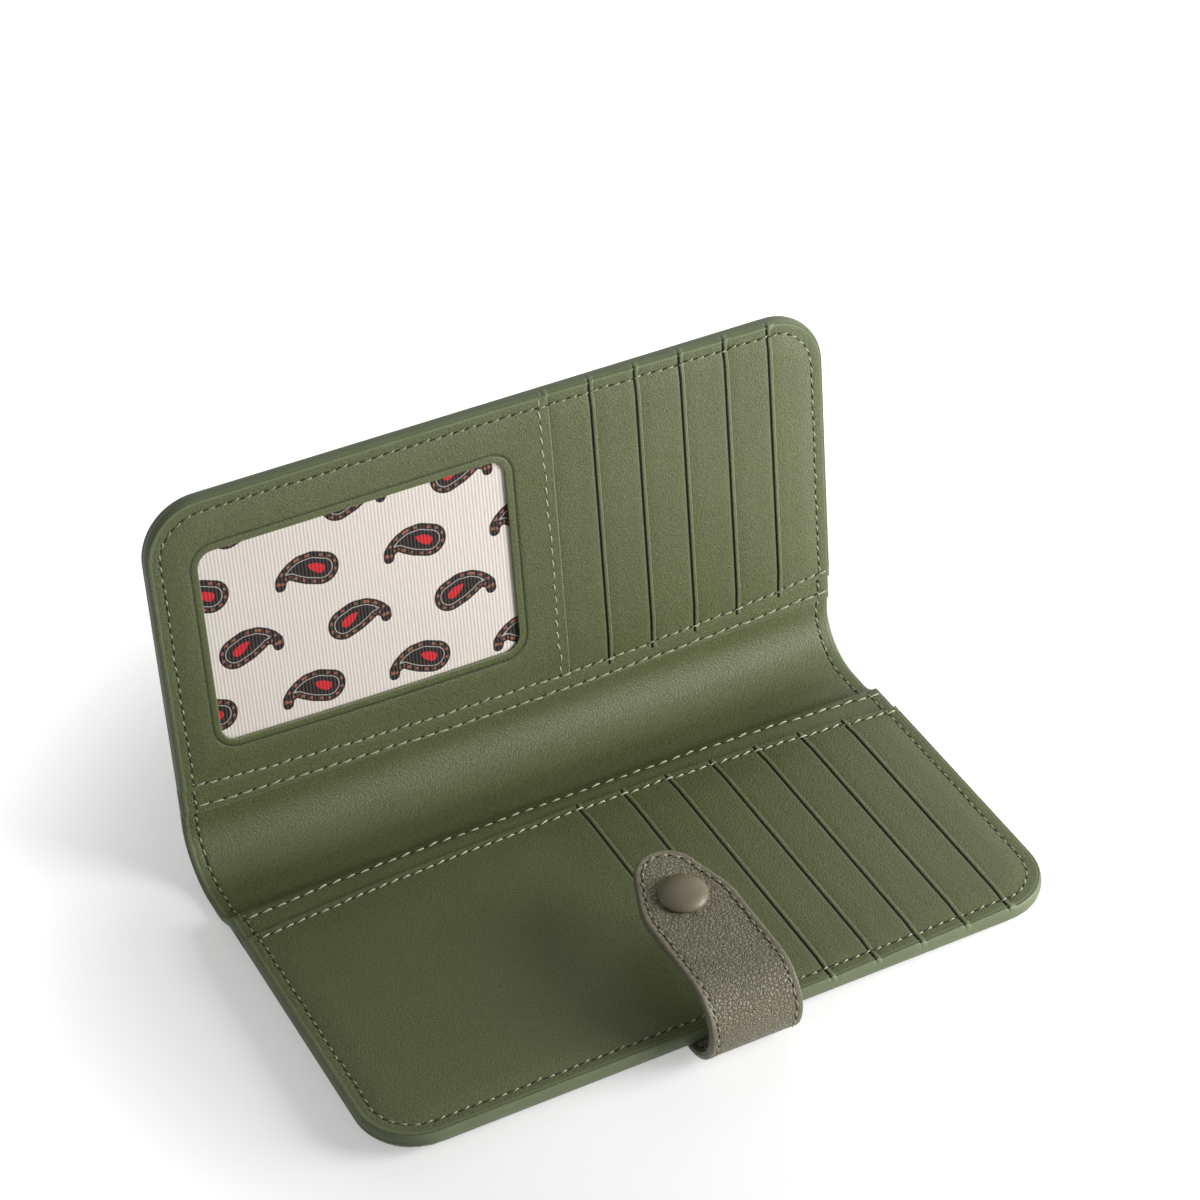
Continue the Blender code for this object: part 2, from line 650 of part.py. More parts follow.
def make_stud(cover, outer, board):
    """Stud on the outside of the upper cover and the rivet that holds it from inside."""
    place = cover.along(PANEL_LENGTH - STUD_FROM_EDGE)
    outside = -HALF_GAP - OUTER_THICKNESS - SHEET_GAP
    head = STUD_HEAD_RADIUS - STUD_NECK_RADIUS
    profile = [(STUD_BORE_RADIUS, 0.0), (STUD_RADIUS, 0.0), (STUD_RADIUS, -STUD_FLANGE / 2),
               (STUD_RADIUS - STUD_FLANGE, -STUD_FLANGE), (STUD_NECK_RADIUS, -STUD_FLANGE),
               (STUD_NECK_RADIUS, -STUD_HEIGHT + 3 * head), (STUD_HEAD_RADIUS, -STUD_HEIGHT + 2 * head),
               (STUD_HEAD_RADIUS, -STUD_HEIGHT + head), (STUD_NECK_RADIUS, -STUD_HEIGHT),
               (0.0, -STUD_HEIGHT), (0.0, -STUD_BORE_DEPTH), (STUD_BORE_RADIUS, -STUD_BORE_DEPTH)]
    stud = turned("snap_stud", profile, True, cover.parent, (0.0, place, outside), 0.0)
    paint(stud, BRASS, 0.3, 1.0)
    rivet_end = outside - STUD_BORE_DEPTH + SHANK_CLEARANCE
    flange_top = HALF_GAP + RIVET_FLANGE_THICKNESS
    profile = [(0.0, flange_top), (RIVET_FLANGE_RADIUS, flange_top), (RIVET_FLANGE_RADIUS, HALF_GAP),
               (RIVET_RADIUS, HALF_GAP), (RIVET_RADIUS, rivet_end), (0.0, rivet_end)]
    rivet = turned("snap_stud_rivet", profile, False, cover.parent, (0.0, place, 0.0), 0.0)
    paint(rivet, BRASS, 0.4, 1.0)
    depth = 2 * (OUTER_THICKNESS + CUT_OVERRUN)
    middle = (0.0, place, 0.0)
    leather_hole = round_cutter("stud_leather_hole", STUD_BORE_RADIUS, depth, cover.parent, middle)
    board_hole = round_cutter("stud_board_hole", BOARD_HOLE_RADIUS, depth, cover.parent, middle)
    apply_cutter(outer, leather_hole, "DIFFERENCE")
    apply_cutter(board, board_hole, "DIFFERENCE")


def centre_over_floor(root):
    """Move the whole wallet so that its origin is under the middle of its box, on the floor."""
    bpy.context.view_layer.update()
    depsgraph = bpy.context.evaluated_depsgraph_get()
    corners = []
    for obj in PARTS.objects:
        if obj.type == "MESH":
            evaluated = obj.evaluated_get(depsgraph)
            corners += [evaluated.matrix_world @ vertex.co for vertex in evaluated.data.vertices]
    lows = [min(corner[axis] for corner in corners) for axis in range(3)]
    highs = [max(corner[axis] for corner in corners) for axis in range(3)]
    root.location = (-(lows[0] + highs[0]) / 2, -(lows[1] + highs[1]) / 2, -lows[2])
    bpy.context.view_layer.update()


for old in list(bpy.data.objects):
    bpy.data.objects.remove(old)
PARTS = new_collection("wallet")
CUTTERS = new_collection("wallet_cutters")

lower_frame = new_empty("lower_cover_frame", None, (0.0, 0.0, 0.0))
fold_frame = new_empty("lower_fold_axis", lower_frame, (0.0, 0.0, 0.0))
end_y, end_z, end_heading = stations(spine_runs())[-1]
upper_frame = new_empty("upper_fold_axis", fold_frame, (0.0, end_y, end_z), end_heading)

lower = Cover("lower", -1, LOWER_LEAD, LOWER_LIFT, LOWER_INSERT_SETBACK, lower_frame)
upper = Cover("upper", 1, UPPER_LEAD, 0.0, UPPER_INSERT_SETBACK, upper_frame)
tab_y = lower.along(PANEL_LENGTH - TAB_BEND_INSET) - TAB_SEAM_RADIUS
tab_z = TAB_OUTER_THICKNESS - OUTER_THICKNESS + TAB_SEAM_RADIUS
tab_frame = new_empty("tab_fold_axis", lower_frame, (0.0, tab_y, tab_z))

inserts = ((lower, "lower_plain_panel", LOWER_STRIPS), (upper, "window_panel", UPPER_STRIPS))
for cover, first_name, strips in inserts:
    cover_plan = cover_plan_cutter(cover)
    outer_sheet = make_outer_leather(cover, cover_plan)
    stiffener = make_board(cover)
    make_lining(cover, cover_plan)
    make_slip_pocket(cover)
    make_backing_cloth(cover)
    make_card_insert(cover, first_name, strips, cover is upper, cover_plan)
    if cover is upper:
        make_stud(cover, outer_sheet, stiffener)
    leather(outer_sheet, TAUPE)

make_spine(fold_frame)
make_tab(tab_frame)
make_tab_root(tab_frame)
make_snap(tab_frame)
centre_over_floor(lower_frame)
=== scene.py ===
"""Long bifold wallet in leather, open on a table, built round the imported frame.

The wallet is made from the outside in, as in the workshop: outside hide, stiffening boards,
lining, slip pockets, backing cloth, card inserts, painted edges, seams, and last the snap tab.
"""
import json
import math

import bmesh
import bpy
from mathutils import Matrix, Vector


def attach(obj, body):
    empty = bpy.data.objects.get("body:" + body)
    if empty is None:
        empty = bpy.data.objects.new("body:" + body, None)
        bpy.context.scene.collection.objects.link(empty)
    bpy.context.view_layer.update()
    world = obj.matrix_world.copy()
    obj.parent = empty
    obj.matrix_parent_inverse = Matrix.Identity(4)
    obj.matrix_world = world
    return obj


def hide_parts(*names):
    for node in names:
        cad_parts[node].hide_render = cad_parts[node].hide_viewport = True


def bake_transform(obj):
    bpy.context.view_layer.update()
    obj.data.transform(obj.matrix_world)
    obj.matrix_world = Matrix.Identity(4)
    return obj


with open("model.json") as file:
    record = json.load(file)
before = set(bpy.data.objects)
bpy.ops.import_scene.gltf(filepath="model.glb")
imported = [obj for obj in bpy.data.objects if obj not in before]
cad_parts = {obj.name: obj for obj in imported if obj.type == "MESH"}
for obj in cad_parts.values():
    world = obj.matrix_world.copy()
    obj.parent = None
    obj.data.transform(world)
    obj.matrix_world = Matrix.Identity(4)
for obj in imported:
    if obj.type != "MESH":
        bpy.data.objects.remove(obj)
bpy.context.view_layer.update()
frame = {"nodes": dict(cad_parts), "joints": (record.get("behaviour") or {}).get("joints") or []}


# Camera.
# The photograph's viewpoint, solved from the seams of both covers: from the front left, looking
# down at about 39 degrees, with the long lens of a product photograph.
camera = bpy.data.objects.new("camera", bpy.data.cameras.new("camera"))
camera.location = (-0.29327, -0.54096, 0.5825)
camera.rotation_euler = (0.893, -0.0002, -0.48953)
camera.data.lens = 105.5
camera.data.sensor_width = 36.0
camera.data.clip_start = 0.05
camera.data.clip_end = 20.0
bpy.context.scene.collection.objects.link(camera)
bpy.context.scene.camera = camera
bpy.context.scene.view_settings.view_transform = "Standard"


# Table and studio light.
# A matt white board under a soft lamp low at the right, with a faint rim lamp behind and a faint
# fill in front. Camera and gloss see board and room as white, and close to the wallet the board
# glows less, so that it keeps the wallet's shadow.
def colour(hex_code):
    """Linear colour of an sRGB hex value."""
    channels = [((hex_code >> shift) & 0xFF) / 0xFF for shift in (16, 8, 0)]
    return [c / 12.92 if c <= 0.04045 else ((c + 0.055) / 1.055) ** 2.4 for c in channels] + [1.0]


def plug(tree, node, sockets):
    """Set a node's inputs, by name or number, to a value, an output, or another node's first output."""
    for key, value in sockets.items():
        if isinstance(value, bpy.types.Node):
            value = value.outputs[0]
        if isinstance(value, bpy.types.NodeSocket):
            tree.links.new(value, node.inputs[key])
        else:
            node.inputs[key].default_value = value


def add_node(tree, kind, sockets=None, **settings):
    """Add a node with its own settings and its inputs."""
    node = tree.nodes.new(kind)
    for name, value in settings.items():
        setattr(node, name, value)
    plug(tree, node, sockets or {})
    return node


def seen_as_background(tree):
    """1 where the camera, a reflection or glass looks, and 0 where the surface only lights others."""
    ray = add_node(tree, "ShaderNodeLightPath").outputs
    seen = add_node(tree, "ShaderNodeMath", {0: ray["Is Camera Ray"], 1: ray["Is Glossy Ray"]},
                    operation="MAXIMUM")
    return add_node(tree, "ShaderNodeMath", {0: seen, 1: ray["Is Transmission Ray"]}, operation="MAXIMUM")


def empty_tree(owner):
    """Node tree of a world or material, with nothing in it yet."""
    owner.use_nodes = True
    owner.node_tree.nodes.clear()
    return owner.node_tree


ROOM_LIGHT = 0.15
TABLE_SIZE = 6.0
TABLE_GLOW_NEAR = 0.40
TABLE_GLOW_FAR = 1.0
SHADE_REACH = 0.1
WHITE_FROM = 0.185
LAMP_TARGET = Vector((0.0, 0.0, 0.03))

room = bpy.data.worlds.new("pale_room")
bpy.context.scene.world = room
tree = empty_tree(room)
strength = add_node(tree, "ShaderNodeMapRange",
                    {"Value": seen_as_background(tree), "To Min": ROOM_LIGHT, "To Max": 1.0})
room_light = add_node(tree, "ShaderNodeBackground", {"Color": colour(0xFFFFFF), "Strength": strength})
add_node(tree, "ShaderNodeOutputWorld", {"Surface": room_light})

white_board = bpy.data.materials.new("white_matt_board")
tree = empty_tree(white_board)
place = add_node(tree, "ShaderNodeTexCoord").outputs["Object"]
radius = add_node(tree, "ShaderNodeVectorMath", {0: place}, operation="LENGTH").outputs["Value"]
fade = add_node(tree, "ShaderNodeMapRange",
                {"Value": radius, "From Min": SHADE_REACH, "From Max": WHITE_FROM,
                 "To Min": TABLE_GLOW_NEAR, "To Max": TABLE_GLOW_FAR}, interpolation_type="SMOOTHSTEP")
glow = add_node(tree, "ShaderNodeMath", {0: seen_as_background(tree), 1: fade}, operation="MULTIPLY")
shine = add_node(tree, "ShaderNodeEmission", {"Color": colour(0xFFFFFF), "Strength": glow})
paint = add_node(tree, "ShaderNodeBsdfDiffuse", {"Color": colour(0xF4F4F4)})
both = add_node(tree, "ShaderNodeAddShader", {0: shine, 1: paint})
add_node(tree, "ShaderNodeOutputMaterial", {"Surface": both})

table_mesh = bpy.data.meshes.new("table_top")
half_table = TABLE_SIZE / 2
table_mesh.from_pydata([(-half_table, -half_table, 0), (half_table, -half_table, 0),
                        (half_table, half_table, 0), (-half_table, half_table, 0)], [], [(0, 1, 2, 3)])
table_mesh.materials.append(white_board)
table = bpy.data.objects.new("table_top", table_mesh)
bpy.context.scene.collection.objects.link(table)

# Square lamps that look at the wallet: name, place, side in metres and power in watts.
for name, place, side, watts in (("soft_lamp_right", (0.42, -0.29, 0.2), 0.3, 3.5),
                                 ("rim_lamp_behind_right", (0.35, 0.25, 0.35), 0.25, 0.25),
                                 ("front_fill_lamp", (-0.1, -1.0, 0.2), 0.6, 0.3)):
    light = bpy.data.lights.new(name, "AREA")
    light.shape = "SQUARE"
    light.size = side
    light.energy = watts
    lamp = bpy.data.objects.new(name, light)
    lamp.location = place
    lamp.rotation_euler = (LAMP_TARGET - lamp.location).to_track_quat("-Z", "Y").to_euler()
    bpy.context.scene.collection.objects.link(lamp)


# Outside hide.
# One taupe hide of pebbled calfskin covers the back of both halves and the spine. It is split in
# the middle of the spine, into one piece for each half.
MM = 0.001
HALF_WIDTH = 0.089
PANEL_LENGTH = 0.083
CORNER_RADIUS = 0.014
OPENING_LEAN = math.radians(82.0)
LOWER_LIFT = 0.0021
LOWER_LEAD = 0.009
UPPER_LEAD = 0.0037
FOLD_FLAT = 0.0018
SPINE_FLAT = 0.004
SPINE_RADIUS = 0.014725
SPINE_RUN = SPINE_FLAT + SPINE_RADIUS * OPENING_LEAN
SPINE_MIDDLE = SPINE_FLAT + SPINE_RADIUS * OPENING_LEAN / 2
LOWER_BEND = Vector((0.0, 0.0045, 0.0))
UPPER_BEND = Vector((0.0, math.cos(OPENING_LEAN), math.sin(OPENING_LEAN))) * 0.0034
HIDE_THICKNESS = 0.0011
HIDE_ROUNDING = 0.0005
SEAM_INSET = 0.003
SEAM_DENT = 0.00014
SEAM_WIDTH = 0.0006
GLUE_LINE = 0.00002
WELD = 0.000002
SHARP = math.radians(50.0)

axis_at = {joint["name"]: Vector(joint["pos_m"]) for joint in frame["joints"]}


def ease(share):
    """Smooth step from 0 to 1."""
    share = min(max(share, 0.0), 1.0)
    return (1 - math.cos(math.pi * share)) / 2


def over_seam(run, height):
    """Y and Z over the seam of hide and lining; run is 0 at the lower fold and grows to the upper cover."""
    fold = axis_at["lower_fold"]
    if run < SPINE_FLAT:
        lift = LOWER_LIFT * ease((-run - FOLD_FLAT) / (LOWER_LEAD - FOLD_FLAT))
        return fold.y + run, fold.z + lift + height
    angle = min((run - SPINE_FLAT) / SPINE_RADIUS, OPENING_LEAN)
    beyond = max(run - SPINE_RUN, 0.0)
    y = fold.y + SPINE_FLAT + (SPINE_RADIUS - height) * math.sin(angle) + beyond * math.cos(OPENING_LEAN)
    z = fold.z + SPINE_RADIUS - (SPINE_RADIUS - height) * math.cos(angle) + beyond * math.sin(OPENING_LEAN)
    return y, z


class Half:
    """One half of the wallet, measured from its slip pocket's mouth towards its free edge."""

    def __init__(self, name, sign, mouth_run, mouth_count, insert_start, drawn, fold, bend, bodies):
        self.name = name
        self.sign = sign
        self.mouth_run = mouth_run
        self.middle = -abs(SPINE_MIDDLE - mouth_run)
        self.mouths = [LAST_MOUTH - SLOT_PITCH * i for i in reversed(range(mouth_count))]
        self.insert_start = insert_start
        self.insert_seam = insert_start + INSERT_SEAM_INSET
        self.drawn = drawn
        self.fold_start = axis_at[fold] - bend
        self.fold_end = axis_at[fold] + bend
        self.bodies = bodies

    def at(self, x, s, height):
        y, z = over_seam(self.mouth_run + self.sign * s, height)
        return Vector((x, y, z))

    def up(self, x, s):
        """Direction from the seam towards the inside of the wallet."""
        return (self.at(x, s, 0.001) - self.at(x, s, 0.0)).normalized()

    def draw(self, x, s):
        """How far the pocket and insert are drawn towards the spine at a place, as the table gives."""
        bow = 1 - (x / HALF_WIDTH) ** 2
        s = max(s, 0.0)
        for (start, *before), (end, *after) in zip(self.drawn, self.drawn[1:]):
            if s <= end:
                share = ease((s - start) / (end - start))
                side, middle = (a + (b - a) * share for a, b in zip(before, after))
                return side + middle * bow
        return 0.0

    def at_insert(self, x, s, height):
        """Point on the pocket or an insert, in its sewn and drawn state."""
        return self.at(x, s - self.draw(x, s), height)

    def undrawn(self, x, s):
        """Place on the pocket or insert that ends up at s."""
        place = s
        for _ in range(6):
            place = s + self.draw(x, place)
        return place

    def bend(self, piece, slot, *nodes):
        """Bake a piece's place into its mesh and hide the CAD nodes that it stands for."""
        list(self.bodies)
        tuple(self.fold_start)
        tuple(self.fold_end)
        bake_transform(piece)
        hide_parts(*nodes)

    def carry(self, piece, slot, node):
        """Fix a piece to this half's cover and hide the CAD node that it stands for."""
        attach(piece, self.name + "_cover")
        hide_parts(node)


# How the pocket and insert are drawn towards the spine: the distance from the pocket's mouth, how
# far they are drawn there all across, and how much further in the middle of the width.
LOWER_DRAWN = ((0.0, 0.0016, 0.0028), (0.0028, 0.0018, 0.0036), (0.0089, 0.0011, 0.0046),
               (0.0130, 0.0011, 0.0046), (0.0480, 0.0, 0.0))
UPPER_DRAWN = ((0.0, 0.0003, 0.0012), (0.0028, 0.0008, 0.0026), (0.0070, 0.0002, 0.0042),
               (0.0095, 0.0002, 0.0042), (0.0183, 0.0, 0.0020), (0.0330, 0.0, 0.0))
LAST_MOUTH = 0.075
SLOT_PITCH = 0.0122
INSERT_SEAM_INSET = 0.0018
lower = Half("lower", sign=-1, mouth_run=-LOWER_LEAD, mouth_count=7, insert_start=0.0089, drawn=LOWER_DRAWN,
             fold="lower_fold", bend=LOWER_BEND, bodies=("lower_cover", "spine"))
upper = Half("upper", sign=1, mouth_run=SPINE_RUN + UPPER_LEAD, mouth_count=6, insert_start=0.0070,
             drawn=UPPER_DRAWN, fold="upper_fold", bend=UPPER_BEND, bodies=("spine", "upper_cover"))
halves = (lower, upper)


def side_reach(s, inset=0.0):
    """Half width of a cover at a distance from its pocket's mouth, less where its corners are round."""
    short = max(CORNER_RADIUS - (PANEL_LENGTH - s), 0.0)
    radius = CORNER_RADIUS - inset
    return HALF_WIDTH - CORNER_RADIUS + math.sqrt(max(radius ** 2 - short ** 2, 0.0))


def from_outline(x, s):
    """Distance in from the painted edge."""
    side = HALF_WIDTH - abs(x)
    free = PANEL_LENGTH - s
    if side < CORNER_RADIUS and free < CORNER_RADIUS:
        return CORNER_RADIUS - math.hypot(CORNER_RADIUS - side, CORNER_RADIUS - free)
    return min(side, free)


def dent(distance, width=SEAM_WIDTH):
    """1 at a line, fading to 0 away from it."""
    return math.exp(-(distance / width) ** 2)


def spaced(start, end, step, *details):
    """Positions from start to end, closer together round each detail (place, reach, step)."""
    count = max(round((end - start) / step), 1)
    places = {start + (end - start) * i / count for i in range(count + 1)}
    for place, reach, fine in details:
        places = {p for p in places if not place - reach < p < place + reach or p in (start, end)}
    for place, reach, fine in details:
        count = round(reach / fine)
        places |= {place + fine * i for i in range(-count, count + 1) if start < place + fine * i < end}
    kept = []
    for place in sorted(places):
        if not kept or place - kept[-1] > 0.00002:
            kept.append(place)
    kept[-1] = end
    return kept


def corner_rows(inset):
    """Rows that follow a sheet's round corners, fewer where the sheet lies inside."""
    radius = CORNER_RADIUS - inset
    steps = 8 if inset else 14
    return [PANEL_LENGTH - inset - radius * (1 - math.sin(math.pi / 2 * i / steps)) for i in range(1, steps)]


def new_object(name, mesh):
    """Object of a mesh, at the origin, in the scene."""
    piece = bpy.data.objects.new(name, mesh)
    bpy.context.scene.collection.objects.link(piece)
    return piece


def close_shell(name, shell):
    """Weld a shell, turn its faces outwards, shade it smooth except at sharp edges, and make its object."""
    bmesh.ops.remove_doubles(shell, verts=shell.verts, dist=WELD)
    bmesh.ops.dissolve_degenerate(shell, edges=shell.edges, dist=WELD)
    bmesh.ops.recalc_face_normals(shell, faces=shell.faces)
    for face in shell.faces:
        face.smooth = True
    for edge in shell.edges:
        edge.smooth = edge.calc_face_angle(0.0) < SHARP
    mesh = bpy.data.meshes.new(name)
    shell.to_mesh(mesh)
    shell.free()
    return new_object(name, mesh)


def loft(name, material, loops, closed_loops, caps, tones=None):
    """Shell through loops of points; tones, where given, go to each point's tone attribute."""
    shell = bmesh.new()
    tone_layer = shell.verts.layers.float.new("tone")
    rings = []
    for number, loop in enumerate(loops):
        ring = []
        for place, point in enumerate(loop):
            vertex = shell.verts.new(point)
            vertex[tone_layer] = tones[number][place] if tones else 0.0
            ring.append(vertex)
        rings.append(ring)
    for first, second in zip(rings, rings[1:] + ([rings[0]] if caps == "ring" else [])):
        count = len(first)
        for i in range(count if closed_loops else count - 1):
            shell.faces.new((first[i], first[(i + 1) % count], second[(i + 1) % count], second[i]))
    if caps == "filled":
        shell.faces.new(rings[0])
        shell.faces.new(rings[-1])
    piece = close_shell(name, shell)
    piece.data.materials.append(material)
    return piece


def grid_sheet(name, material, place, columns, rows, low, high, tone=None, inset=0.0):
    """Closed sheet over columns across and rows along; low and high give the heights of its faces."""
    loops = []
    tones = []
    for s in sorted(set(rows) | set(corner_rows(inset))):
        reach = side_reach(s, inset)
        across = [min(max(x, -reach), reach) for x in columns]
        loops.append([place(x, s, high(x, s)) for x in across]
                     + [place(x, s, low(x, s)) for x in reversed(across)])
        shades = [tone(x, s) if tone else 0.0 for x in across]
        tones.append(shades + [0.0] * len(shades))
    return loft(name, material, loops, True, "filled", tones)


def new_finish(name):
    """New material with its tree and shader, and the place on the object that its patterns read."""
    material = bpy.data.materials.new(name)
    material.use_nodes = True
    tree = material.node_tree
    place = add_node(tree, "ShaderNodeTexCoord").outputs["Object"]
    return material, tree, tree.nodes["Principled BSDF"], place


PEBBLE_WIDTH = 0.9 * MM


def pebbled_calfskin(name, hex_light, hex_dark, depth):
    """Pebbled, drum-dyed calfskin: soft grains 0.9 mm wide with fine creases darkened as painted shade,
    smooth where tone is 1.
    """
    material, tree, shader, place = new_finish(name)
    wander = add_node(tree, "ShaderNodeTexNoise", {"Vector": place, "Scale": 0.42 / MM, "Detail": 2.0})
    bent = add_node(tree, "ShaderNodeMixRGB", {0: PEBBLE_WIDTH, 1: place, 2: wander.outputs["Color"]},
                    blend_type="LINEAR_LIGHT")
    grains, creases = (add_node(tree, "ShaderNodeTexVoronoi", {"Vector": bent, "Scale": 1 / PEBBLE_WIDTH},
                                feature=feature) for feature in ("SMOOTH_F1", "DISTANCE_TO_EDGE"))
    crease_wall = add_node(tree, "ShaderNodeMapRange", {"Value": creases, "From Max": 0.16})
    pores = add_node(tree, "ShaderNodeTexNoise", {"Vector": place, "Scale": 3.2 / MM, "Detail": 2.0})
    patches = add_node(tree, "ShaderNodeTexNoise", {"Vector": place, "Scale": 0.07 / MM, "Detail": 4.0})
    # Painted shade: the creases between the grains are coloured darker.
    shade = add_node(tree, "ShaderNodeMath", {0: crease_wall, 1: 0.4, 2: 0.05}, operation="MULTIPLY_ADD")
    blotch = add_node(tree, "ShaderNodeMath", {0: patches, 1: 0.7, 2: shade}, operation="MULTIPLY_ADD")
    skin = add_node(tree, "ShaderNodeMixRGB", {0: blotch, 1: colour(hex_dark), 2: colour(hex_light)})
    pressed = add_node(tree, "ShaderNodeAttribute", attribute_name="tone").outputs["Fac"]
    height = add_node(tree, "ShaderNodeMath", {0: grains, 1: -0.9, 2: crease_wall}, operation="MULTIPLY_ADD")
    relief = add_node(tree, "ShaderNodeMath", {0: pores, 1: 0.25, 2: height}, operation="MULTIPLY_ADD")
    strength = add_node(tree, "ShaderNodeMapRange", {"Value": pressed, "To Min": 1.0, "To Max": 0.25})
    bump = add_node(tree, "ShaderNodeBump", {"Height": relief, "Strength": strength, "Distance": depth})
    gloss = add_node(tree, "ShaderNodeMapRange", {"Value": crease_wall, "To Min": 0.6, "To Max": 0.4})
    plug(tree, shader, {"Base Color": skin, "Normal": bump, "Roughness": gloss})
    return material


outside_calfskin = pebbled_calfskin("pebbled_calfskin_taupe", 0x87826C, 0x4F4B39, depth=0.14 * MM)


def hide_outside(x, s):
    """Height of the hide's outside: rounded over at its edge and drawn in along the perimeter seam."""
    edge = max(from_outline(x, s), 0.0)
    rounding = max(HIDE_ROUNDING - edge, 0.0)
    lifted = HIDE_ROUNDING - math.sqrt(HIDE_ROUNDING ** 2 - rounding ** 2)
    return -HIDE_THICKNESS + lifted + SEAM_DENT * dent(edge - SEAM_INSET)


def hide_inside(x, s):
    """The hide's flesh side, a glue line away from the lining."""
    return -GLUE_LINE


# Reach and step of the finer mesh at cut edges, over the perimeter seam's band, across a row of
# stitches and the spine's middle, and round the rounded edge of a single sheet.
CUT_EDGE = (0.0006, 0.0001)
SEAM_BAND = (0.0036, 0.0004)
SEAM_BAND_INSET = 0.0042
ACROSS_ROW = (0.0012, 0.0003)
ROUND_EDGE = (0.0003, 0.00006)

side_details = [(side * HALF_WIDTH, *CUT_EDGE) for side in (-1, 1)]
side_details += [(side * (HALF_WIDTH - SEAM_BAND_INSET), *SEAM_BAND) for side in (-1, 1)]

for half in halves:
    columns = spaced(-HALF_WIDTH, HALF_WIDTH, 0.003, *side_details)
    rows = spaced(half.middle, PANEL_LENGTH, 0.0018, (half.middle, *ACROSS_ROW),
                  (PANEL_LENGTH - SEAM_BAND_INSET, *SEAM_BAND))
    hide = grid_sheet(half.name + "_outside_hide", outside_calfskin, half.at, columns, rows,
                      hide_outside, hide_inside)
    half.bend(hide, "outer_leather", half.name + "_outer_leather", "spine_outer_leather")


# Stiffening boards.
# A sheet of grey cellulose board in each cover, cut 4.5 mm short of the edge all round and glued
# between hide and lining, where it keeps the cover flat.
BOARD_INSET = 0.0045
BOARD_LOW = 0.000125
BOARD_THICKNESS = 0.0004


def flecked(name, hex_dark, hex_light, flecks_per_mm, detail, roughness, metallic=0.0, relief=0.0):
    """Plain finish whose tone wanders between two colours in small flecks; relief is their height."""
    material, tree, shader, place = new_finish(name)
    flecks = add_node(tree, "ShaderNodeTexNoise",
                      {"Vector": place, "Scale": flecks_per_mm / MM, "Detail": detail})
    tint = add_node(tree, "ShaderNodeMixRGB", {0: flecks, 1: colour(hex_dark), 2: colour(hex_light)})
    plug(tree, shader, {"Base Color": tint, "Roughness": roughness, "Metallic": metallic})
    if relief:
        bump = add_node(tree, "ShaderNodeBump", {"Height": flecks, "Strength": 0.4, "Distance": relief})
        plug(tree, shader, {"Normal": bump})
    return material


# Cellulose board: dull grey with short pulp fibres.
cellulose_board = flecked("grey_cellulose_board", 0x7D776B, 0x9A9487, flecks_per_mm=0.9, detail=4.0,
                          roughness=0.85)

for half in halves:
    columns = spaced(-HALF_WIDTH + BOARD_INSET, HALF_WIDTH - BOARD_INSET, 0.006)
    rows = spaced(BOARD_INSET, PANEL_LENGTH - BOARD_INSET, 0.005)
    board = grid_sheet(half.name + "_board", cellulose_board, half.at, columns, rows, lambda x, s: BOARD_LOW,
                       lambda x, s: BOARD_LOW + BOARD_THICKNESS, inset=BOARD_INSET)
    half.carry(board, "board", half.name + "_stiffening_board")


# Lining.
# Smooth olive calfskin, 0.6 mm, over the whole inside. It shows in the valley of the spine, and
# goes on under the slip pockets. Like the hide it is split in the middle of the spine.
LINING_TOP = 0.001375
LINING_TOP_AT_FOLD = 0.000725
LINING_THICKNESS = 0.0006
LINING_CLIMB_FROM = 0.0026
LINING_CLIMB = 0.0016
LINING_FINE_UP_TO = 0.004


def olive_calfskin():
    """Smooth corrected-grain calfskin, satin: fine pores, soft mottling; burnish and painted shade where tone
    is below 0, edge paint and a painted highlight where it is above.
    """
    material, tree, shader, place = new_finish("smooth_calfskin_olive")
    grain = add_node(tree, "ShaderNodeTexVoronoi", {"Vector": place, "Scale": 2.3 / MM}, feature="SMOOTH_F1")
    fibre = add_node(tree, "ShaderNodeTexNoise", {"Vector": place, "Scale": 2.9 / MM, "Detail": 2.0})
    mottle = add_node(tree, "ShaderNodeTexNoise",
                      {"Vector": place, "Scale": 0.045 / MM, "Detail": 4.0, "Roughness": 0.6})
    speckle = add_node(tree, "ShaderNodeMapRange",
                       {"Value": fibre, "From Min": 0.34, "From Max": 0.66, "To Max": 0.7})
    mix = add_node(tree, "ShaderNodeMath", {0: mottle, 1: 0.3, 2: speckle}, operation="MULTIPLY_ADD")
    skin = add_node(tree, "ShaderNodeMixRGB", {0: mix, 1: colour(0x4B5232), 2: colour(0x70774F)})
    tone = add_node(tree, "ShaderNodeAttribute", attribute_name="tone").outputs["Fac"]
    # Tone below 0 darkens towards near black for burnish and painted shade; tone above 0 lightens for edge
    # paint and a painted highlight.
    burnish_and_shade = add_node(tree, "ShaderNodeMapRange", {"Value": tone, "From Min": 0.0, "From Max": -1.0})
    painted = add_node(tree, "ShaderNodeMapRange", {"Value": tone, "From Min": 0.0, "From Max": 1.0})
    dark = add_node(tree, "ShaderNodeMixRGB", {0: burnish_and_shade, 1: skin, 2: colour(0x0E0D08)})
    light = add_node(tree, "ShaderNodeMixRGB", {0: painted, 1: dark, 2: colour(0xA3AD8C)})
    relief = add_node(tree, "ShaderNodeMath", {0: fibre, 1: 0.8, 2: grain}, operation="MULTIPLY_ADD")
    bump = add_node(tree, "ShaderNodeBump", {"Height": relief, "Strength": 0.9, "Distance": 0.11 * MM})
    plug(tree, shader, {"Base Color": light, "Normal": bump, "Roughness": 0.45, "Specular IOR Level": 0.35})
    return material


inside_calfskin = olive_calfskin()


def lining_top(s):
    """Height of the lining: thin over the fold, raised over the board."""
    fold_end = -LOWER_LEAD + FOLD_FLAT
    return LINING_TOP_AT_FOLD + (LINING_TOP - LINING_TOP_AT_FOLD) * ease(1 - s / fold_end)


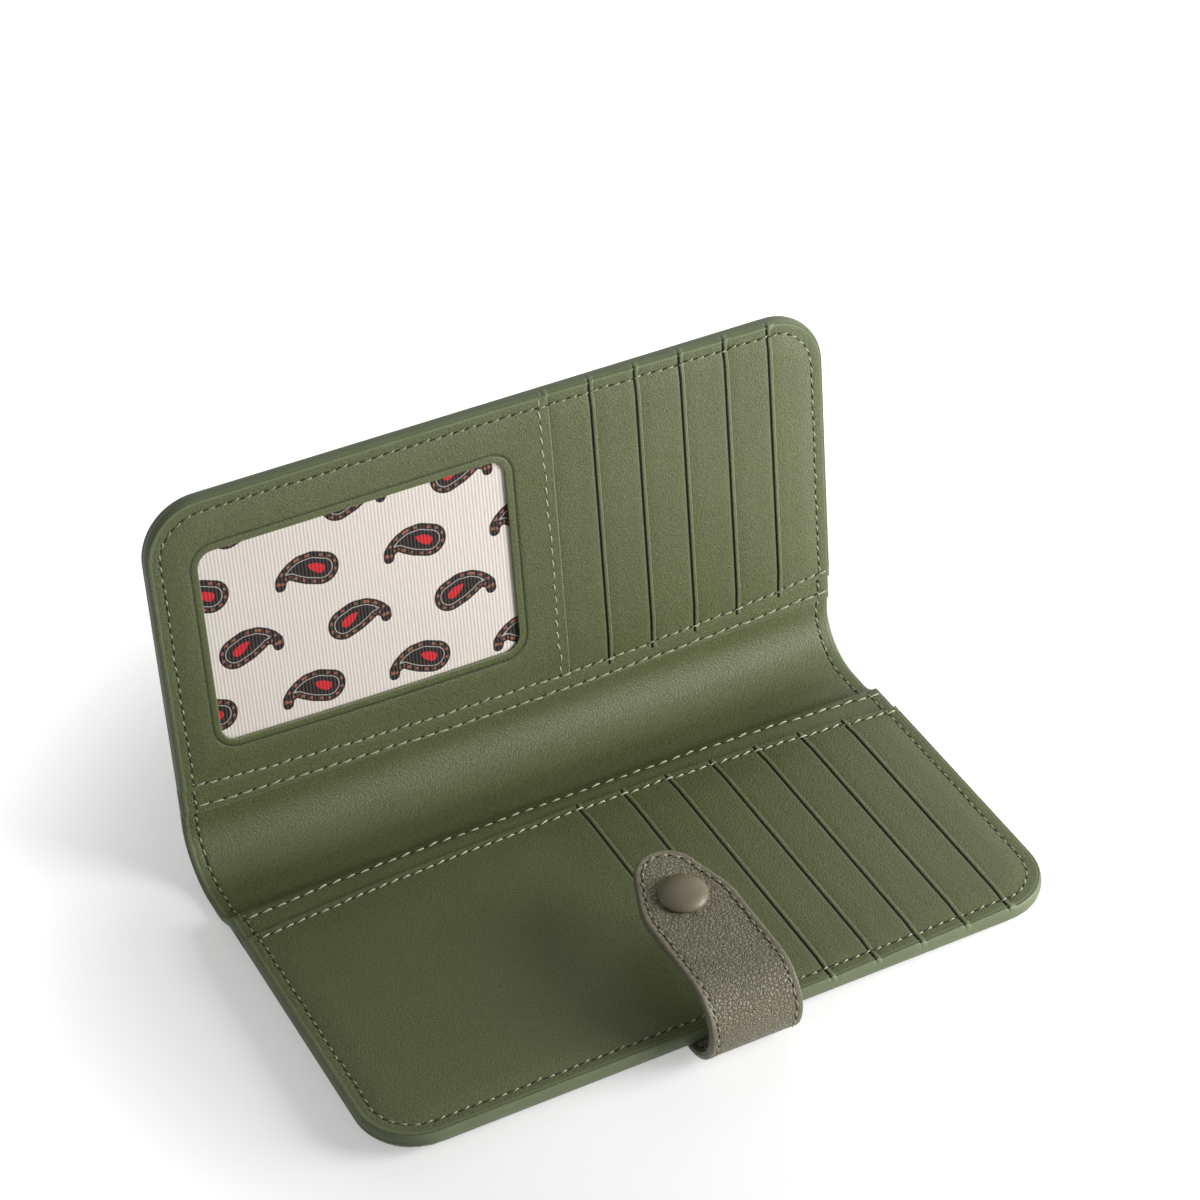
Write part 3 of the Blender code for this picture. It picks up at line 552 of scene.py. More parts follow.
def lining_high(x, s):
    """Height of the lining's face, drawn in along the perimeter seam."""
    return lining_top(s) - SEAM_DENT * dent(from_outline(x, s) - SEAM_INSET)


def lining_low(x, s):
    """The lining's underside rests on the hide round the board and on the board inside it."""
    over_board = ease((min(from_outline(x, s), s) - LINING_CLIMB_FROM) / LINING_CLIMB)
    return GLUE_LINE + (LINING_TOP - LINING_THICKNESS - GLUE_LINE) * over_board


for half in halves:
    columns = spaced(-HALF_WIDTH, HALF_WIDTH, 0.003, *side_details)
    rows = spaced(half.middle, PANEL_LENGTH, 0.0012, (half.middle, *ACROSS_ROW))
    rows = [s for s in rows if s < LINING_FINE_UP_TO] + spaced(0.0044, PANEL_LENGTH, 0.004)
    lining = grid_sheet(half.name + "_lining_skin", inside_calfskin, half.at, columns, rows,
                        lining_low, lining_high)
    half.bend(lining, "inner_leather", half.name + "_lining", "spine_lining")


# Slip pockets.
# A full-width sheet of the same calfskin in each cover, open to the spine for notes. Its mouth is
# finished with a row of stitches, and the other three sides are caught in the perimeter seam.
POCKET_LOW = 0.001625
POCKET_TOP = 0.002225
POCKET_SEAM = 0.0028


def round_off(distance, half_thickness):
    """Half thickness of a sheet close to its rounded edge."""
    inside = min(max(distance / half_thickness, 0.0), 1.0)
    return half_thickness * math.sqrt(1 - (1 - inside) ** 2)


def pocket_level(s, side):
    """Height of the slip pocket's sheet before its seams draw it in."""
    half_thickness = (POCKET_TOP - POCKET_LOW) / 2
    return POCKET_LOW + half_thickness + side * round_off(s, half_thickness)


def pocket_inside(x, s):
    """Height of the slip pocket's face, drawn in along its seams."""
    return pocket_level(s, 1) - SEAM_DENT * max(dent(s - POCKET_SEAM), dent(from_outline(x, s) - SEAM_INSET))


def pocket_back(x, s):
    """Height of the slip pocket's underside."""
    return pocket_level(s, -1)


def pocket_tone(x, s):
    """The mouth's cut edge is painted lighter."""
    return 0.45 * dent(s, 0.0003)


for half in halves:
    columns = spaced(-HALF_WIDTH, HALF_WIDTH, 0.004, *side_details)
    rows = spaced(0.0, 0.010, 0.0006, (0.0, *ROUND_EDGE), (POCKET_SEAM, *ACROSS_ROW))
    rows += spaced(0.012, PANEL_LENGTH, 0.004)
    pocket = grid_sheet(half.name + "_note_pocket", inside_calfskin, half.at_insert, columns, rows,
                        pocket_back, pocket_inside, pocket_tone)
    half.carry(pocket, "inner_leather", half.name + "_slip_pocket")


# Backing cloths.
# Ribbed cream cotton behind the card strips of each cover, sewn in all round. The upper one shows
# in the identity window and is printed with rows of paisley drops, a traditional pattern.
CLOTH_LOW = 0.002475
CLOTH_THICKNESS = 0.0003
CLOTH_INSET = 0.001
SETTLE = 0.00042
SETTLE_REACH = 0.005
RIB_PITCH = 0.0009
DROP_PITCH = 0.0278
DROP_ROW = 0.0161
FIRST_DROP = 0.0013
FIRST_DROP_ROW = 0.0206
DROP_STAGGER = 0.0128
DROP_TURN = math.radians(-3.4)
DROP_BORDER = 0.0017
DOT_PITCH = 0.0022
BORDER_LINE = (DROP_BORDER, 0.00014, 0.00006)
DOT_ROW = (DROP_BORDER / 2, 0.00042, 0.00028)
PRINT_SOFTNESS = 0.00006
PRINT_ATTRIBUTES = ("print_edge", "print_place", "print_heart")
DROP_OUTLINE = ((0.0040, -0.0006, 0.00425), (0.0012, 0.00045, 0.0043), (-0.0012, 0.0010, 0.0036),
                (-0.0033, 0.0012, 0.0025), (-0.0052, 0.0006, 0.0018), (-0.0066, -0.0007, 0.0015),
                (-0.0068, -0.0022, 0.0014))
DROP_HEART = ((0.0035, -0.0005, 0.0012), (0.0022, 0.0003, 0.0011), (0.0005, 0.0013, 0.00025))


def settle(half, x, s):
    """How far the insert is pressed down next to the seams that hold it."""
    at_seam = 1 - ease((s - half.insert_seam - 0.001) / SETTLE_REACH)
    at_edge = 1 - ease((from_outline(x, s) - 0.0025) / SETTLE_REACH)
    return SETTLE * max(at_seam, at_edge)


def filled_in(circles, steps=6):
    """Row of circles (x, s, radius) with more set between each two."""
    row = [circles[0]]
    for first, second in zip(circles, circles[1:]):
        row += [tuple(a + (b - a) * i / steps for a, b in zip(first, second)) for i in range(1, steps + 1)]
    return row


drop_outline = filled_in(DROP_OUTLINE)
drop_heart = filled_in(DROP_HEART)
head_x, head_s, head_radius = drop_outline[0]
head_along = Vector((head_x - drop_outline[1][0], head_s - drop_outline[1][1])).normalized()
border_middle = head_radius - DROP_BORDER / 2
place_on_outline = [math.pi / 2 * border_middle]
for first, second in zip(drop_outline, drop_outline[1:]):
    place_on_outline.append(place_on_outline[-1] + math.dist(first[:2], second[:2]))


def print_at(x, s):
    """Distance from the nearest drop's outline, place round its border, and distance from its heart.

    Distances are negative inside. Every other row of drops is staggered and faces the other way.
    """
    across = x * math.cos(DROP_TURN) + s * math.sin(DROP_TURN) - FIRST_DROP
    along = s * math.cos(DROP_TURN) - x * math.sin(DROP_TURN) - FIRST_DROP_ROW
    row = round(along / DROP_ROW)
    along -= row * DROP_ROW
    across -= DROP_STAGGER * (row % 2)
    across -= round(across / DROP_PITCH) * DROP_PITCH
    x = across * math.cos(DROP_TURN) - along * math.sin(DROP_TURN)
    s = along * math.cos(DROP_TURN) + across * math.sin(DROP_TURN)
    if row % 2:
        x = -x
    edge, number = min((math.hypot(x - cx, s - cs) - radius, i)
                       for i, (cx, cs, radius) in enumerate(drop_outline))
    heart = min(math.hypot(x - cx, s - cs) - radius for cx, cs, radius in drop_heart)
    place = place_on_outline[number]
    if number == 0:
        out = Vector((x - head_x, s - head_s))
        place = border_middle * out.angle(head_along, 0.0)
    return edge, place, heart


def cotton_repp(name, printed):
    """Cotton repp: fine raised ribs, eleven to the centimetre, dull; plain, or printed in four colours."""
    material, tree, shader, place = new_finish(name)
    parts = add_node(tree, "ShaderNodeSeparateXYZ", {0: place})
    ribs = add_node(tree, "ShaderNodeMath", {0: parts, 1: 2 * math.pi / RIB_PITCH}, operation="MULTIPLY")
    rib = add_node(tree, "ShaderNodeMath", {0: ribs}, operation="SINE")
    thread = add_node(tree, "ShaderNodeTexNoise", {"Vector": place, "Scale": 2.4 / MM, "Detail": 3.0})
    # Rib tops lighter and their valleys darker: painted shade of the ribs; the flecks are the thread's own
    # tone.
    rib_share = add_node(tree, "ShaderNodeMapRange", {"Value": rib, "From Min": -1.0, "To Max": 0.85})
    ribs_and_flecks = add_node(tree, "ShaderNodeMath", {0: thread, 1: 0.3, 2: rib_share}, operation="MULTIPLY_ADD")
    top = add_node(tree, "ShaderNodeMixRGB", {0: ribs_and_flecks, 1: colour(0xDCCDC3), 2: colour(0xFFF8F0)},
                   use_clamp=True)
    if printed:
        edge, round_border, heart = (add_node(tree, "ShaderNodeAttribute", attribute_name=name).outputs["Fac"]
                                     for name in PRINT_ATTRIBUTES)
        soft = {"From Min": PRINT_SOFTNESS, "From Max": -PRINT_SOFTNESS}
        drop, in_heart = (add_node(tree, "ShaderNodeMapRange", {"Value": distance, **soft})
                          for distance in (edge, heart))
        bands = []
        for inside, nothing_at, full_at in (BORDER_LINE, DOT_ROW):
            beyond = add_node(tree, "ShaderNodeMath", {0: edge, 1: -inside}, operation="SUBTRACT")
            gap = add_node(tree, "ShaderNodeMath", {0: beyond}, operation="ABSOLUTE")
            bands.append(add_node(tree, "ShaderNodeMapRange",
                                  {"Value": gap, "From Min": nothing_at, "From Max": full_at}))
        line, dot_band = bands
        turns = add_node(tree, "ShaderNodeMath", {0: round_border, 1: 2 * math.pi / DOT_PITCH},
                         operation="MULTIPLY")
        wave = add_node(tree, "ShaderNodeMath", {0: turns}, operation="COSINE")
        dot_row = add_node(tree, "ShaderNodeMapRange", {"Value": wave, "From Min": 0.25, "From Max": 0.55})
        dots = add_node(tree, "ShaderNodeMath", {0: dot_band, 1: dot_row}, operation="MULTIPLY")
        rust = add_node(tree, "ShaderNodeMixRGB", {0: dots, 1: colour(0x1F181A), 2: colour(0x9A6248)})
        red = add_node(tree, "ShaderNodeMixRGB", {0: in_heart, 1: rust, 2: colour(0xD8202C)})
        cream = add_node(tree, "ShaderNodeMixRGB", {0: line, 1: red, 2: colour(0xC4BEB8)})
        # A painted sheen on the rib tops, over the print.
        sheen = add_node(tree, "ShaderNodeMath", {0: rib_share, 1: 0.09}, operation="MULTIPLY")
        ink = add_node(tree, "ShaderNodeMixRGB", {0: sheen, 1: cream, 2: colour(0xF3E7DC)})
        top = add_node(tree, "ShaderNodeMixRGB", {0: drop, 1: top, 2: ink})
    bump = add_node(tree, "ShaderNodeBump", {"Height": ribs_and_flecks, "Strength": 0.5, "Distance": 0.08 * MM})
    plug(tree, shader, {"Base Color": top, "Normal": bump, "Roughness": 0.9, "Specular IOR Level": 0.2})
    return material


PRINT_STEP = 0.0006
WINDOW = (-0.0774, 0.0013, 0.0183, 0.0693)

for half in halves:
    start = half.insert_start + CLOTH_INSET
    columns = spaced(-HALF_WIDTH + CLOTH_INSET, HALF_WIDTH - CLOTH_INSET, 0.004)
    rows = spaced(start, PANEL_LENGTH - CLOTH_INSET, 0.003)
    if half is upper:
        left, right, near, far = WINDOW
        columns = [x for x in columns if not left < x < right] + spaced(left, right, PRINT_STEP)
        rows = [s for s in rows if not near < s < far] + spaced(near, far, PRINT_STEP)
    cloth = grid_sheet(half.name + "_cotton_backing", cotton_repp(half.name + "_cotton_repp", half is upper),
                       half.at_insert, sorted(columns), rows,
                       lambda x, s: CLOTH_LOW - settle(half, x, s) / 2,
                       lambda x, s: CLOTH_LOW + CLOTH_THICKNESS - settle(half, x, s) / 2, inset=CLOTH_INSET)
    if half is upper:
        origin = upper.at(0.0, 0.0, 0.0)
        up_the_cover = (upper.at(0.0, 0.01, 0.0) - origin).normalized()
        prints = [print_at(v.co.x, (v.co - origin).dot(up_the_cover)) for v in cloth.data.vertices]
        for name, values in zip(PRINT_ATTRIBUTES, zip(*prints)):
            cloth.data.attributes.new(name, "FLOAT", "POINT").data.foreach_set("value", values)
    half.carry(cloth, "printed_cloth" if half is upper else "lining_cloth", half.name + "_backing_cloth")


# Card inserts.
# In each cover a wide first panel and a shingled row of calfskin strips, every one with its right
# edge free as a card mouth and a dark crease pressed in beside it. The base sheet ends the row.
STRIP_LOW = 0.003025
STRIP_THICKNESS = 0.0006
TUCK_THICKNESS = 0.00045
SKIVED_EDGE = 0.0001
SKIVE_RUN = 0.002
STRIP_RISE = 0.0005
STRIP_TUCK = 0.004
CREASE_FROM_MOUTH = 0.0013
CREASE_DEPTH = 0.0004
CREASE_WIDTH = 0.00026
LIP_FROM_CREASE = 0.0007
LIP_WIDTH = 0.0003
SEAM_LINE = (0.0015, 0.0003)


def rise(x, mouth):
    """How far a strip has climbed over the tucked edge of the next one."""
    return STRIP_RISE * min(max((x - mouth) / SLOT_PITCH + 1, 0.0), 1.0) if mouth else 0.0


def strip_thickness(x, tucked_at):
    """A strip is skived thin where it is tucked under the one before."""
    if tucked_at is None:
        return STRIP_THICKNESS
    if x < tucked_at:
        return TUCK_THICKNESS + (TUCK_THICKNESS - SKIVED_EDGE) * (x - tucked_at) / STRIP_TUCK
    return TUCK_THICKNESS + (STRIP_THICKNESS - TUCK_THICKNESS) * min((x - tucked_at) / SKIVE_RUN, 1.0)


def seam_dents(half, x, s):
    """How far the seams along the insert and the perimeter draw the top sheet in."""
    return SEAM_DENT * max(dent(s - half.insert_seam), dent(from_outline(x, s) - SEAM_INSET))


def crease(x, mouth):
    """1 in the crease that is pressed in beside a card mouth."""
    return dent(x - mouth + CREASE_FROM_MOUTH, CREASE_WIDTH) if mouth else 0.0


def strip_face(half, tucked_at, mouth, side):
    """Height of one face of a strip that ends in a mouth."""
    def height(x, s):
        body = strip_thickness(x, tucked_at) / 2
        edge = min(s - half.insert_start, mouth - x if mouth else 1.0)
        level = STRIP_LOW + body + rise(x, mouth) - settle(half, x, s) + side * round_off(edge, body)
        if side > 0:
            level -= seam_dents(half, x, s) + CREASE_DEPTH * crease(x, mouth)
        return level
    return height


def strip_tone(half, tucked_at, mouth):
    """Burnish and painted shade in the crease, painted shade under the next mouth, a painted highlight on the
    lips beside the crease, and edge paint on cut edges.
    """
    def tone(x, s):
        light = 0.5 * dent(s - half.insert_start, 0.00025)
        dark = 0.0
        if mouth:
            from_crease = x - mouth + CREASE_FROM_MOUTH
            # The lips beside the crease get a painted highlight.
            lip_highlight = max(dent(from_crease - LIP_FROM_CREASE, LIP_WIDTH),
                       0.7 * dent(from_crease + LIP_FROM_CREASE, LIP_WIDTH))
            light = max(light, 0.55 * dent(mouth - x, 0.00022), 0.16 * lip_highlight)
            # The crease is darkened for its burnish and as painted shade.
            dark = min(1.5 * crease(x, mouth), 1.0)
        # Painted shade where this strip runs under the mouth of the one before.
        if tucked_at is not None:
            dark = max(dark, 0.75 * dent(x - tucked_at - 0.00012, 0.00018))
        return light * (1 - dark) - dark
    return tone


def make_strip(half, name, left, right, tucked_at, mouth, node):
    """One sheet of an insert: its left end may be tucked under the sheet before, its right one a mouth."""
    rows = spaced(half.insert_start, PANEL_LENGTH, 0.0035, (half.insert_start, *ROUND_EDGE),
                  (half.insert_seam, *ACROSS_ROW), (PANEL_LENGTH - SEAM_INSET, *SEAM_LINE))
    details = [(left, 0.0003, 0.0001)]
    if mouth:
        details += [(mouth - CREASE_FROM_MOUTH, 0.00099, 0.00009), (mouth, *ROUND_EDGE)]
    else:
        details += [(right - SEAM_INSET, *SEAM_LINE)]
    if tucked_at is None:
        details += [(left + SEAM_INSET, *SEAM_LINE)]
    else:
        details += [(tucked_at + 0.0001, 0.0004, 0.0001)]
    columns = spaced(left, right, 0.0011 if right - left < 0.03 else 0.0025, *details)
    strip = grid_sheet(name, inside_calfskin, half.at_insert, columns, rows,
                       strip_face(half, tucked_at, mouth, -1), strip_face(half, tucked_at, mouth, 1),
                       strip_tone(half, tucked_at, mouth))
    half.carry(strip, "inner_leather", node)


for half in halves:
    for number, (before, mouth) in enumerate(zip(half.mouths, half.mouths[1:]), 1):
        node = f"{half.name}_card_strip_{number}"
        make_strip(half, node + "_leather", before - STRIP_TUCK, mouth, before, mouth, node)
    make_strip(half, half.name + "_base_leather", LAST_MOUTH - STRIP_TUCK, HALF_WIDTH, LAST_MOUTH, None,
               half.name + "_card_base")
make_strip(lower, "lower_first_panel", -HALF_WIDTH, lower.mouths[0], None, lower.mouths[0],
           "lower_plain_panel")

WINDOW_RADIUS = 0.004
WINDOW_CREASE = 0.002
CREASE_DENT = 1.5 * SEAM_DENT
PANEL_CORNER = 0.0002
FROM_WINDOW = (0.0, 0.00006, 0.00015, 0.0003, 0.0006, 0.0011, 0.0015, 0.0017, 0.0019, 0.0021, 0.0023, 0.0026,
               0.0032, 0.004)
FROM_EDGE = (0.006, 0.0045, 0.0038, 0.0034, 0.003, 0.0026, 0.0022, 0.0018, 0.0015, 0.0012, 0.0009, 0.0006,
             0.0003, 0.00015, 0.00006, 0.0)


def ring(left, right, near, far, radii, side_steps=(44, 32), corner_steps=8):
    """Points round a rectangle with round corners, counter-clockwise from the near left corner."""
    corners = [(left, near, 1, 1, 180), (right, near, -1, 1, 270),
               (right, far, -1, -1, 0), (left, far, 1, -1, 90)]
    points = []
    arcs = []
    for (x, s, inward_x, inward_s, start), radius in zip(corners, radii):
        centre = (x + inward_x * radius, s + inward_s * radius)
        arcs.append([(centre[0] + radius * math.cos(math.radians(start + 90 * i / corner_steps)),
                      centre[1] + radius * math.sin(math.radians(start + 90 * i / corner_steps)))
                     for i in range(corner_steps + 1)])
    for number, arc in enumerate(arcs):
        following = arcs[(number + 1) % 4][0]
        steps = side_steps[number % 2]
        points += arc
        points += [(arc[-1][0] + (following[0] - arc[-1][0]) * i / steps,
                    arc[-1][1] + (following[1] - arc[-1][1]) * i / steps) for i in range(1, steps)]
    return points


def make_window_panel():
    """First panel of the upper insert, lofted from the window's rim out to the panel's own edges."""
    mouth = upper.mouths[0]
    left, right, near, far = WINDOW
    rings = [(step, ring(left - step, right + step, near - step, far + step, [WINDOW_RADIUS + step] * 4))
             for step in FROM_WINDOW]
    outer = [(1.0, ring(-HALF_WIDTH + step, mouth - step, upper.insert_start + step, PANEL_LENGTH - step,
                        [PANEL_CORNER, PANEL_CORNER, PANEL_CORNER, CORNER_RADIUS - step]))
             for step in FROM_EDGE]
    for share in (0.33, 0.67):
        rings.append((1.0, [(a[0] + (b[0] - a[0]) * share, a[1] + (b[1] - a[1]) * share)
                            for a, b in zip(rings[len(FROM_WINDOW) - 1][1], outer[0][1])]))
    rings += outer
    middle = STRIP_LOW + STRIP_THICKNESS / 2
    loops = {1: [], -1: []}
    tones = []
    for from_window, points in rings:
        for side in (1, -1):
            loop = []
            for x, s in points:
                edge = min(from_window, s - upper.insert_start, mouth - x)
                level = middle + rise(x, mouth) - settle(upper, x, s)
                level += side * round_off(edge, STRIP_THICKNESS / 2)
                if side > 0:
                    level -= seam_dents(upper, x, s) + CREASE_DENT * dent(from_window - WINDOW_CREASE, 0.0003)
                loop.append(upper.at_insert(x, s, level))
            loops[side].append(loop)
        # Tone: edge paint on the rim and cut edges, burnish and painted shade in the crease round the window.
        tones.append([0.3 * dent(from_window, 0.0003) - 0.7 * dent(from_window - WINDOW_CREASE, 0.00025)
                      + 0.5 * dent(mouth - x, 0.00022) + 0.5 * dent(s - upper.insert_start, 0.00025)
                      for x, s in points])
    panel = loft("window_panel_leather", inside_calfskin, loops[1] + loops[-1][::-1], True, "ring",
                 tones + tones[::-1])
    upper.carry(panel, "inner_leather", "window_panel")


make_window_panel()


# Painted edges.
# All layers are cut flush and their edge is filled and painted in grey-green coats, sanded round.
# The coat is thin at the spine, where there are only two leathers, and thick round the inserts.
PAINT_LOW = -0.00082
PAINT_BULGE = 0.0006
PAINT_OVERLAP = 0.0008
PAINT_BACK = 0.0016
PAINT_LAP = 0.00004
GROOVE_HEIGHT = 0.0009
GROOVE_WIDTH = 0.0003
GROOVE_DEPTH = 0.0003
GROOVE_DARK_FROM = 0.00025


def inside_height(half, x, s):
    """Height of the topmost sheet of the inside, before the seams draw it in."""
    if s < -half.draw(x, 0.0):
        return lining_top(s)
    s = half.undrawn(x, s)
    if s < half.insert_start:
        return pocket_level(max(s, 0.0), 1)
    before = max((m for m in half.mouths if m < x), default=None)
    mouth = next((m for m in half.mouths if x <= m), None)
    return STRIP_LOW + strip_thickness(x, before) + rise(x, mouth) - settle(half, x, s)


def band_top(half, x, s):
    """Height of the paint's upper rim, softened over the steps between layers and notched at the creases."""
    samples = [inside_height(half, min(max(x + dx, -HALF_WIDTH), HALF_WIDTH), min(s + ds, PANEL_LENGTH))
               for dx, ds in ((0, 0), (-0.0003, 0), (0.0003, 0), (0, -0.0004), (0, 0.0004))]
    notch = max(crease(x, mouth) for mouth in half.mouths) if s > half.insert_start else 0.0
    return sum(samples) / len(samples) + PAINT_LAP - CREASE_DEPTH * notch


def outline_path(half, step=0.0016):
    """Points and outward directions along a half's edge: up its left side, across and down its right side."""
    steps_up = [s - half.draw(HALF_WIDTH, s) for s in (0.0, half.insert_start)]
    flank = spaced(half.middle, PANEL_LENGTH - CORNER_RADIUS, step, *((s, 0.001, 0.00025) for s in steps_up))
    notches = [(mouth - 0.0008, 0.0018, 0.00015) for mouth in half.mouths]
    centre_x = HALF_WIDTH - CORNER_RADIUS
    centre_s = PANEL_LENGTH - CORNER_RADIUS
    corner_steps = 18
    corners = []
    for side, start in ((-1, math.pi), (1, math.pi / 2)):
        for i in range(1, corner_steps + 1):
            angle = start - math.pi / 2 * i / corner_steps
            out = (math.cos(angle), math.sin(angle))
            place = (side * centre_x + CORNER_RADIUS * out[0], centre_s + CORNER_RADIUS * out[1])
            corners.append((place, out))
    free_edge = [((x, PANEL_LENGTH), (0.0, 1.0)) for x in spaced(-centre_x, centre_x, step, *notches)[1:]]
    return ([((-HALF_WIDTH, s), (-1.0, 0.0)) for s in flank] + corners[:corner_steps] + free_edge
            + corners[corner_steps:] + [((HALF_WIDTH, s), (1.0, 0.0)) for s in reversed(flank[:-1])])


def edge_paint(name, hex_dark, hex_light):
    """Acrylic edge paint: several smooth coats, satin, a little uneven in tone, with painted shade where tone
    is -1.
    """
    material, tree, shader, place = new_finish(name)
    coats = add_node(tree, "ShaderNodeTexNoise", {"Vector": place, "Scale": 0.16 / MM, "Detail": 3.0})
    tint = add_node(tree, "ShaderNodeMixRGB", {0: coats, 1: colour(hex_dark), 2: colour(hex_light)})
    tone = add_node(tree, "ShaderNodeAttribute", attribute_name="tone").outputs["Fac"]
    # Tone below 0 darkens the paint as painted shade in the groove.
    groove = add_node(tree, "ShaderNodeMapRange", {"Value": tone, "From Max": -1.0})
    paint = add_node(tree, "ShaderNodeMixRGB", {0: groove, 1: tint, 2: colour(0x2E3322)})
    ripple = add_node(tree, "ShaderNodeTexNoise", {"Vector": place, "Scale": 0.7 / MM, "Detail": 1.0})
    bump = add_node(tree, "ShaderNodeBump", {"Height": ripple, "Strength": 0.5, "Distance": 0.04 * MM})
    plug(tree, shader, {"Base Color": paint, "Normal": bump, "Roughness": 0.48, "Specular IOR Level": 0.35})
    return material


def paint_profile(low, top, groove_at, groove_depth, steps=14):
    """Outward reach, height and tone round a bead of edge paint, closed behind inside the layers."""
    middle = (low + top) / 2
    reach = (top - low) / 2
    points = []
    for i in range(steps + 1):
        angle = -math.pi / 2 + math.pi * i / steps
        height = middle + reach * math.sin(angle)
        bulge = (PAINT_OVERLAP + PAINT_BULGE) * math.cos(angle) ** 0.7 if 0 < i < steps else 0.0
        cut = dent(height - groove_at, GROOVE_WIDTH)
        # The groove is darkened as painted shade, the more the deeper it is.
        tone = -cut * min(groove_depth / GROOVE_DARK_FROM, 1.0)
        points.append((-PAINT_OVERLAP + bulge - groove_depth * cut, height, tone))
    points.append((-PAINT_BACK, top - 0.0003, 0.0))
    points.append((-PAINT_BACK, low + 0.0002, 0.0))
    return points


def paint_band(name, material, path, place, profile_at, inset=0.0):
    """Bead of edge paint along a path of points and outward directions."""
    loops = []
    tones = []
    for (x, s), (out_x, out_s) in path:
        profile = profile_at(x, s, out_x)
        loops.append([place(x + out_x * (out - inset), s + out_s * (out - inset), height)
                      for out, height, _ in profile])
        tones.append([tone for _, _, tone in profile])
    return loft(name, material, loops, True, "filled", tones)


def cover_profile(half, x, s, out_x):
    """The bead on a cover's edge; on the left side the groove between hide and lining still shows."""
    groove = GROOVE_DEPTH * max(-out_x, 0.0) * ease(s / 0.004)
    return paint_profile(PAINT_LOW, band_top(half, x, s), GROOVE_HEIGHT, groove)


green_edge_paint = edge_paint("acrylic_edge_paint_green", 0x667052, 0x788364)
for half in halves:
    band = paint_band(half.name + "_painted_edge", green_edge_paint, outline_path(half), half.at,
                      lambda x, s, out_x: cover_profile(half, x, s, out_x))
    half.bend(band, "inner_leather", half.name + "_outer_leather")


# Seams.
# Waxed polyester thread in saddle-like lock stitches, each slanting from hole to hole. One seam
# runs round the whole wallet, and straight rows hold the slip pockets, inserts and window panel.
PERIMETER_PITCH = 0.003
POCKET_PITCH = 0.0037
INSERT_PITCH = 0.0031
DIVIDER_PITCH = 0.0034
DRAWN_PITCH = 0.003
THREAD_SLANT = 0.00036
STITCH_REACH = 0.0023
STITCH_SINK = 0.00016
STITCH_RISE = 0.00033
STITCH_WANDER = 0.12
TABLE_TOUCH = 0.0003
PRESSED_IN = 0.0005
HOLE_HEIGHT = 0.00016
DIVIDER_X = 0.0115
DIVIDER_END = 0.080
DIVIDER_STEP = 0.0005
ROW_STEPS = 220


def thread_material(name, hex_dark, hex_light):
    """Waxed polyester thread: twisted filaments with a dull shine."""
    return flecked(name, hex_dark, hex_light, flecks_per_mm=2.5, detail=2.0, roughness=0.5)


waxed_thread = thread_material("waxed_polyester_thread", 0xA9AA8C, 0xDCDBC0)
# Painted shade of a needle hole: nearly black and quite dull.
hole_shade = flecked("needle_hole_dark_leather", 0x16140E, 0x2E281D, flecks_per_mm=4.0, detail=2.0,
                      roughness=0.9)


def thread_shape(name, start, length, thick):
    """One stitch of the drawn pitch: it rises out of one hole, slants a little and sinks into the next."""
    shell = bmesh.new()
    sections = 7
    sides = 6
    rings = []
    for i in range(sections + 1):
        share = i / sections
        swell = math.sin(math.pi * share ** 1.3)
        along = start + length * share
        height = -STITCH_SINK + STITCH_RISE * swell ** 0.5
        radius = thick * (0.3 + 0.75 * swell)
        sideways = THREAD_SLANT * (share - 0.5)
        rings.append([shell.verts.new((along, sideways + radius * math.cos(2 * math.pi * k / sides),
                                       height + radius * math.sin(2 * math.pi * k / sides)))
                      for k in range(sides)])
    for first, second in zip(rings, rings[1:]):
        for k in range(sides):
            shell.faces.new((first[k], first[(k + 1) % sides], second[(k + 1) % sides], second[k]))
    shell.faces.new(rings[0])
    shell.faces.new(rings[-1])
    return close_shell(name, shell)


def hole_shape(name, centre, half_length, half_width, turn):
    """A needle hole: a low dark oval of painted shade that fills the dimple between two stitches, turned by
    some degrees.
    """
    shell = bmesh.new()
    bmesh.ops.create_uvsphere(shell, u_segments=10, v_segments=6, radius=1.0)
    oval = Matrix.Diagonal((half_length, half_width, HOLE_HEIGHT, 1.0))
    slant = Matrix.Rotation(math.radians(turn), 3, "Z")
    bmesh.ops.transform(shell, matrix=oval, verts=shell.verts)
    bmesh.ops.rotate(shell, cent=(0.0, 0.0, 0.0), matrix=slant, verts=shell.verts)
    bmesh.ops.translate(shell, vec=(centre, 0.0, 0.0), verts=shell.verts)
    return close_shell(name, shell)


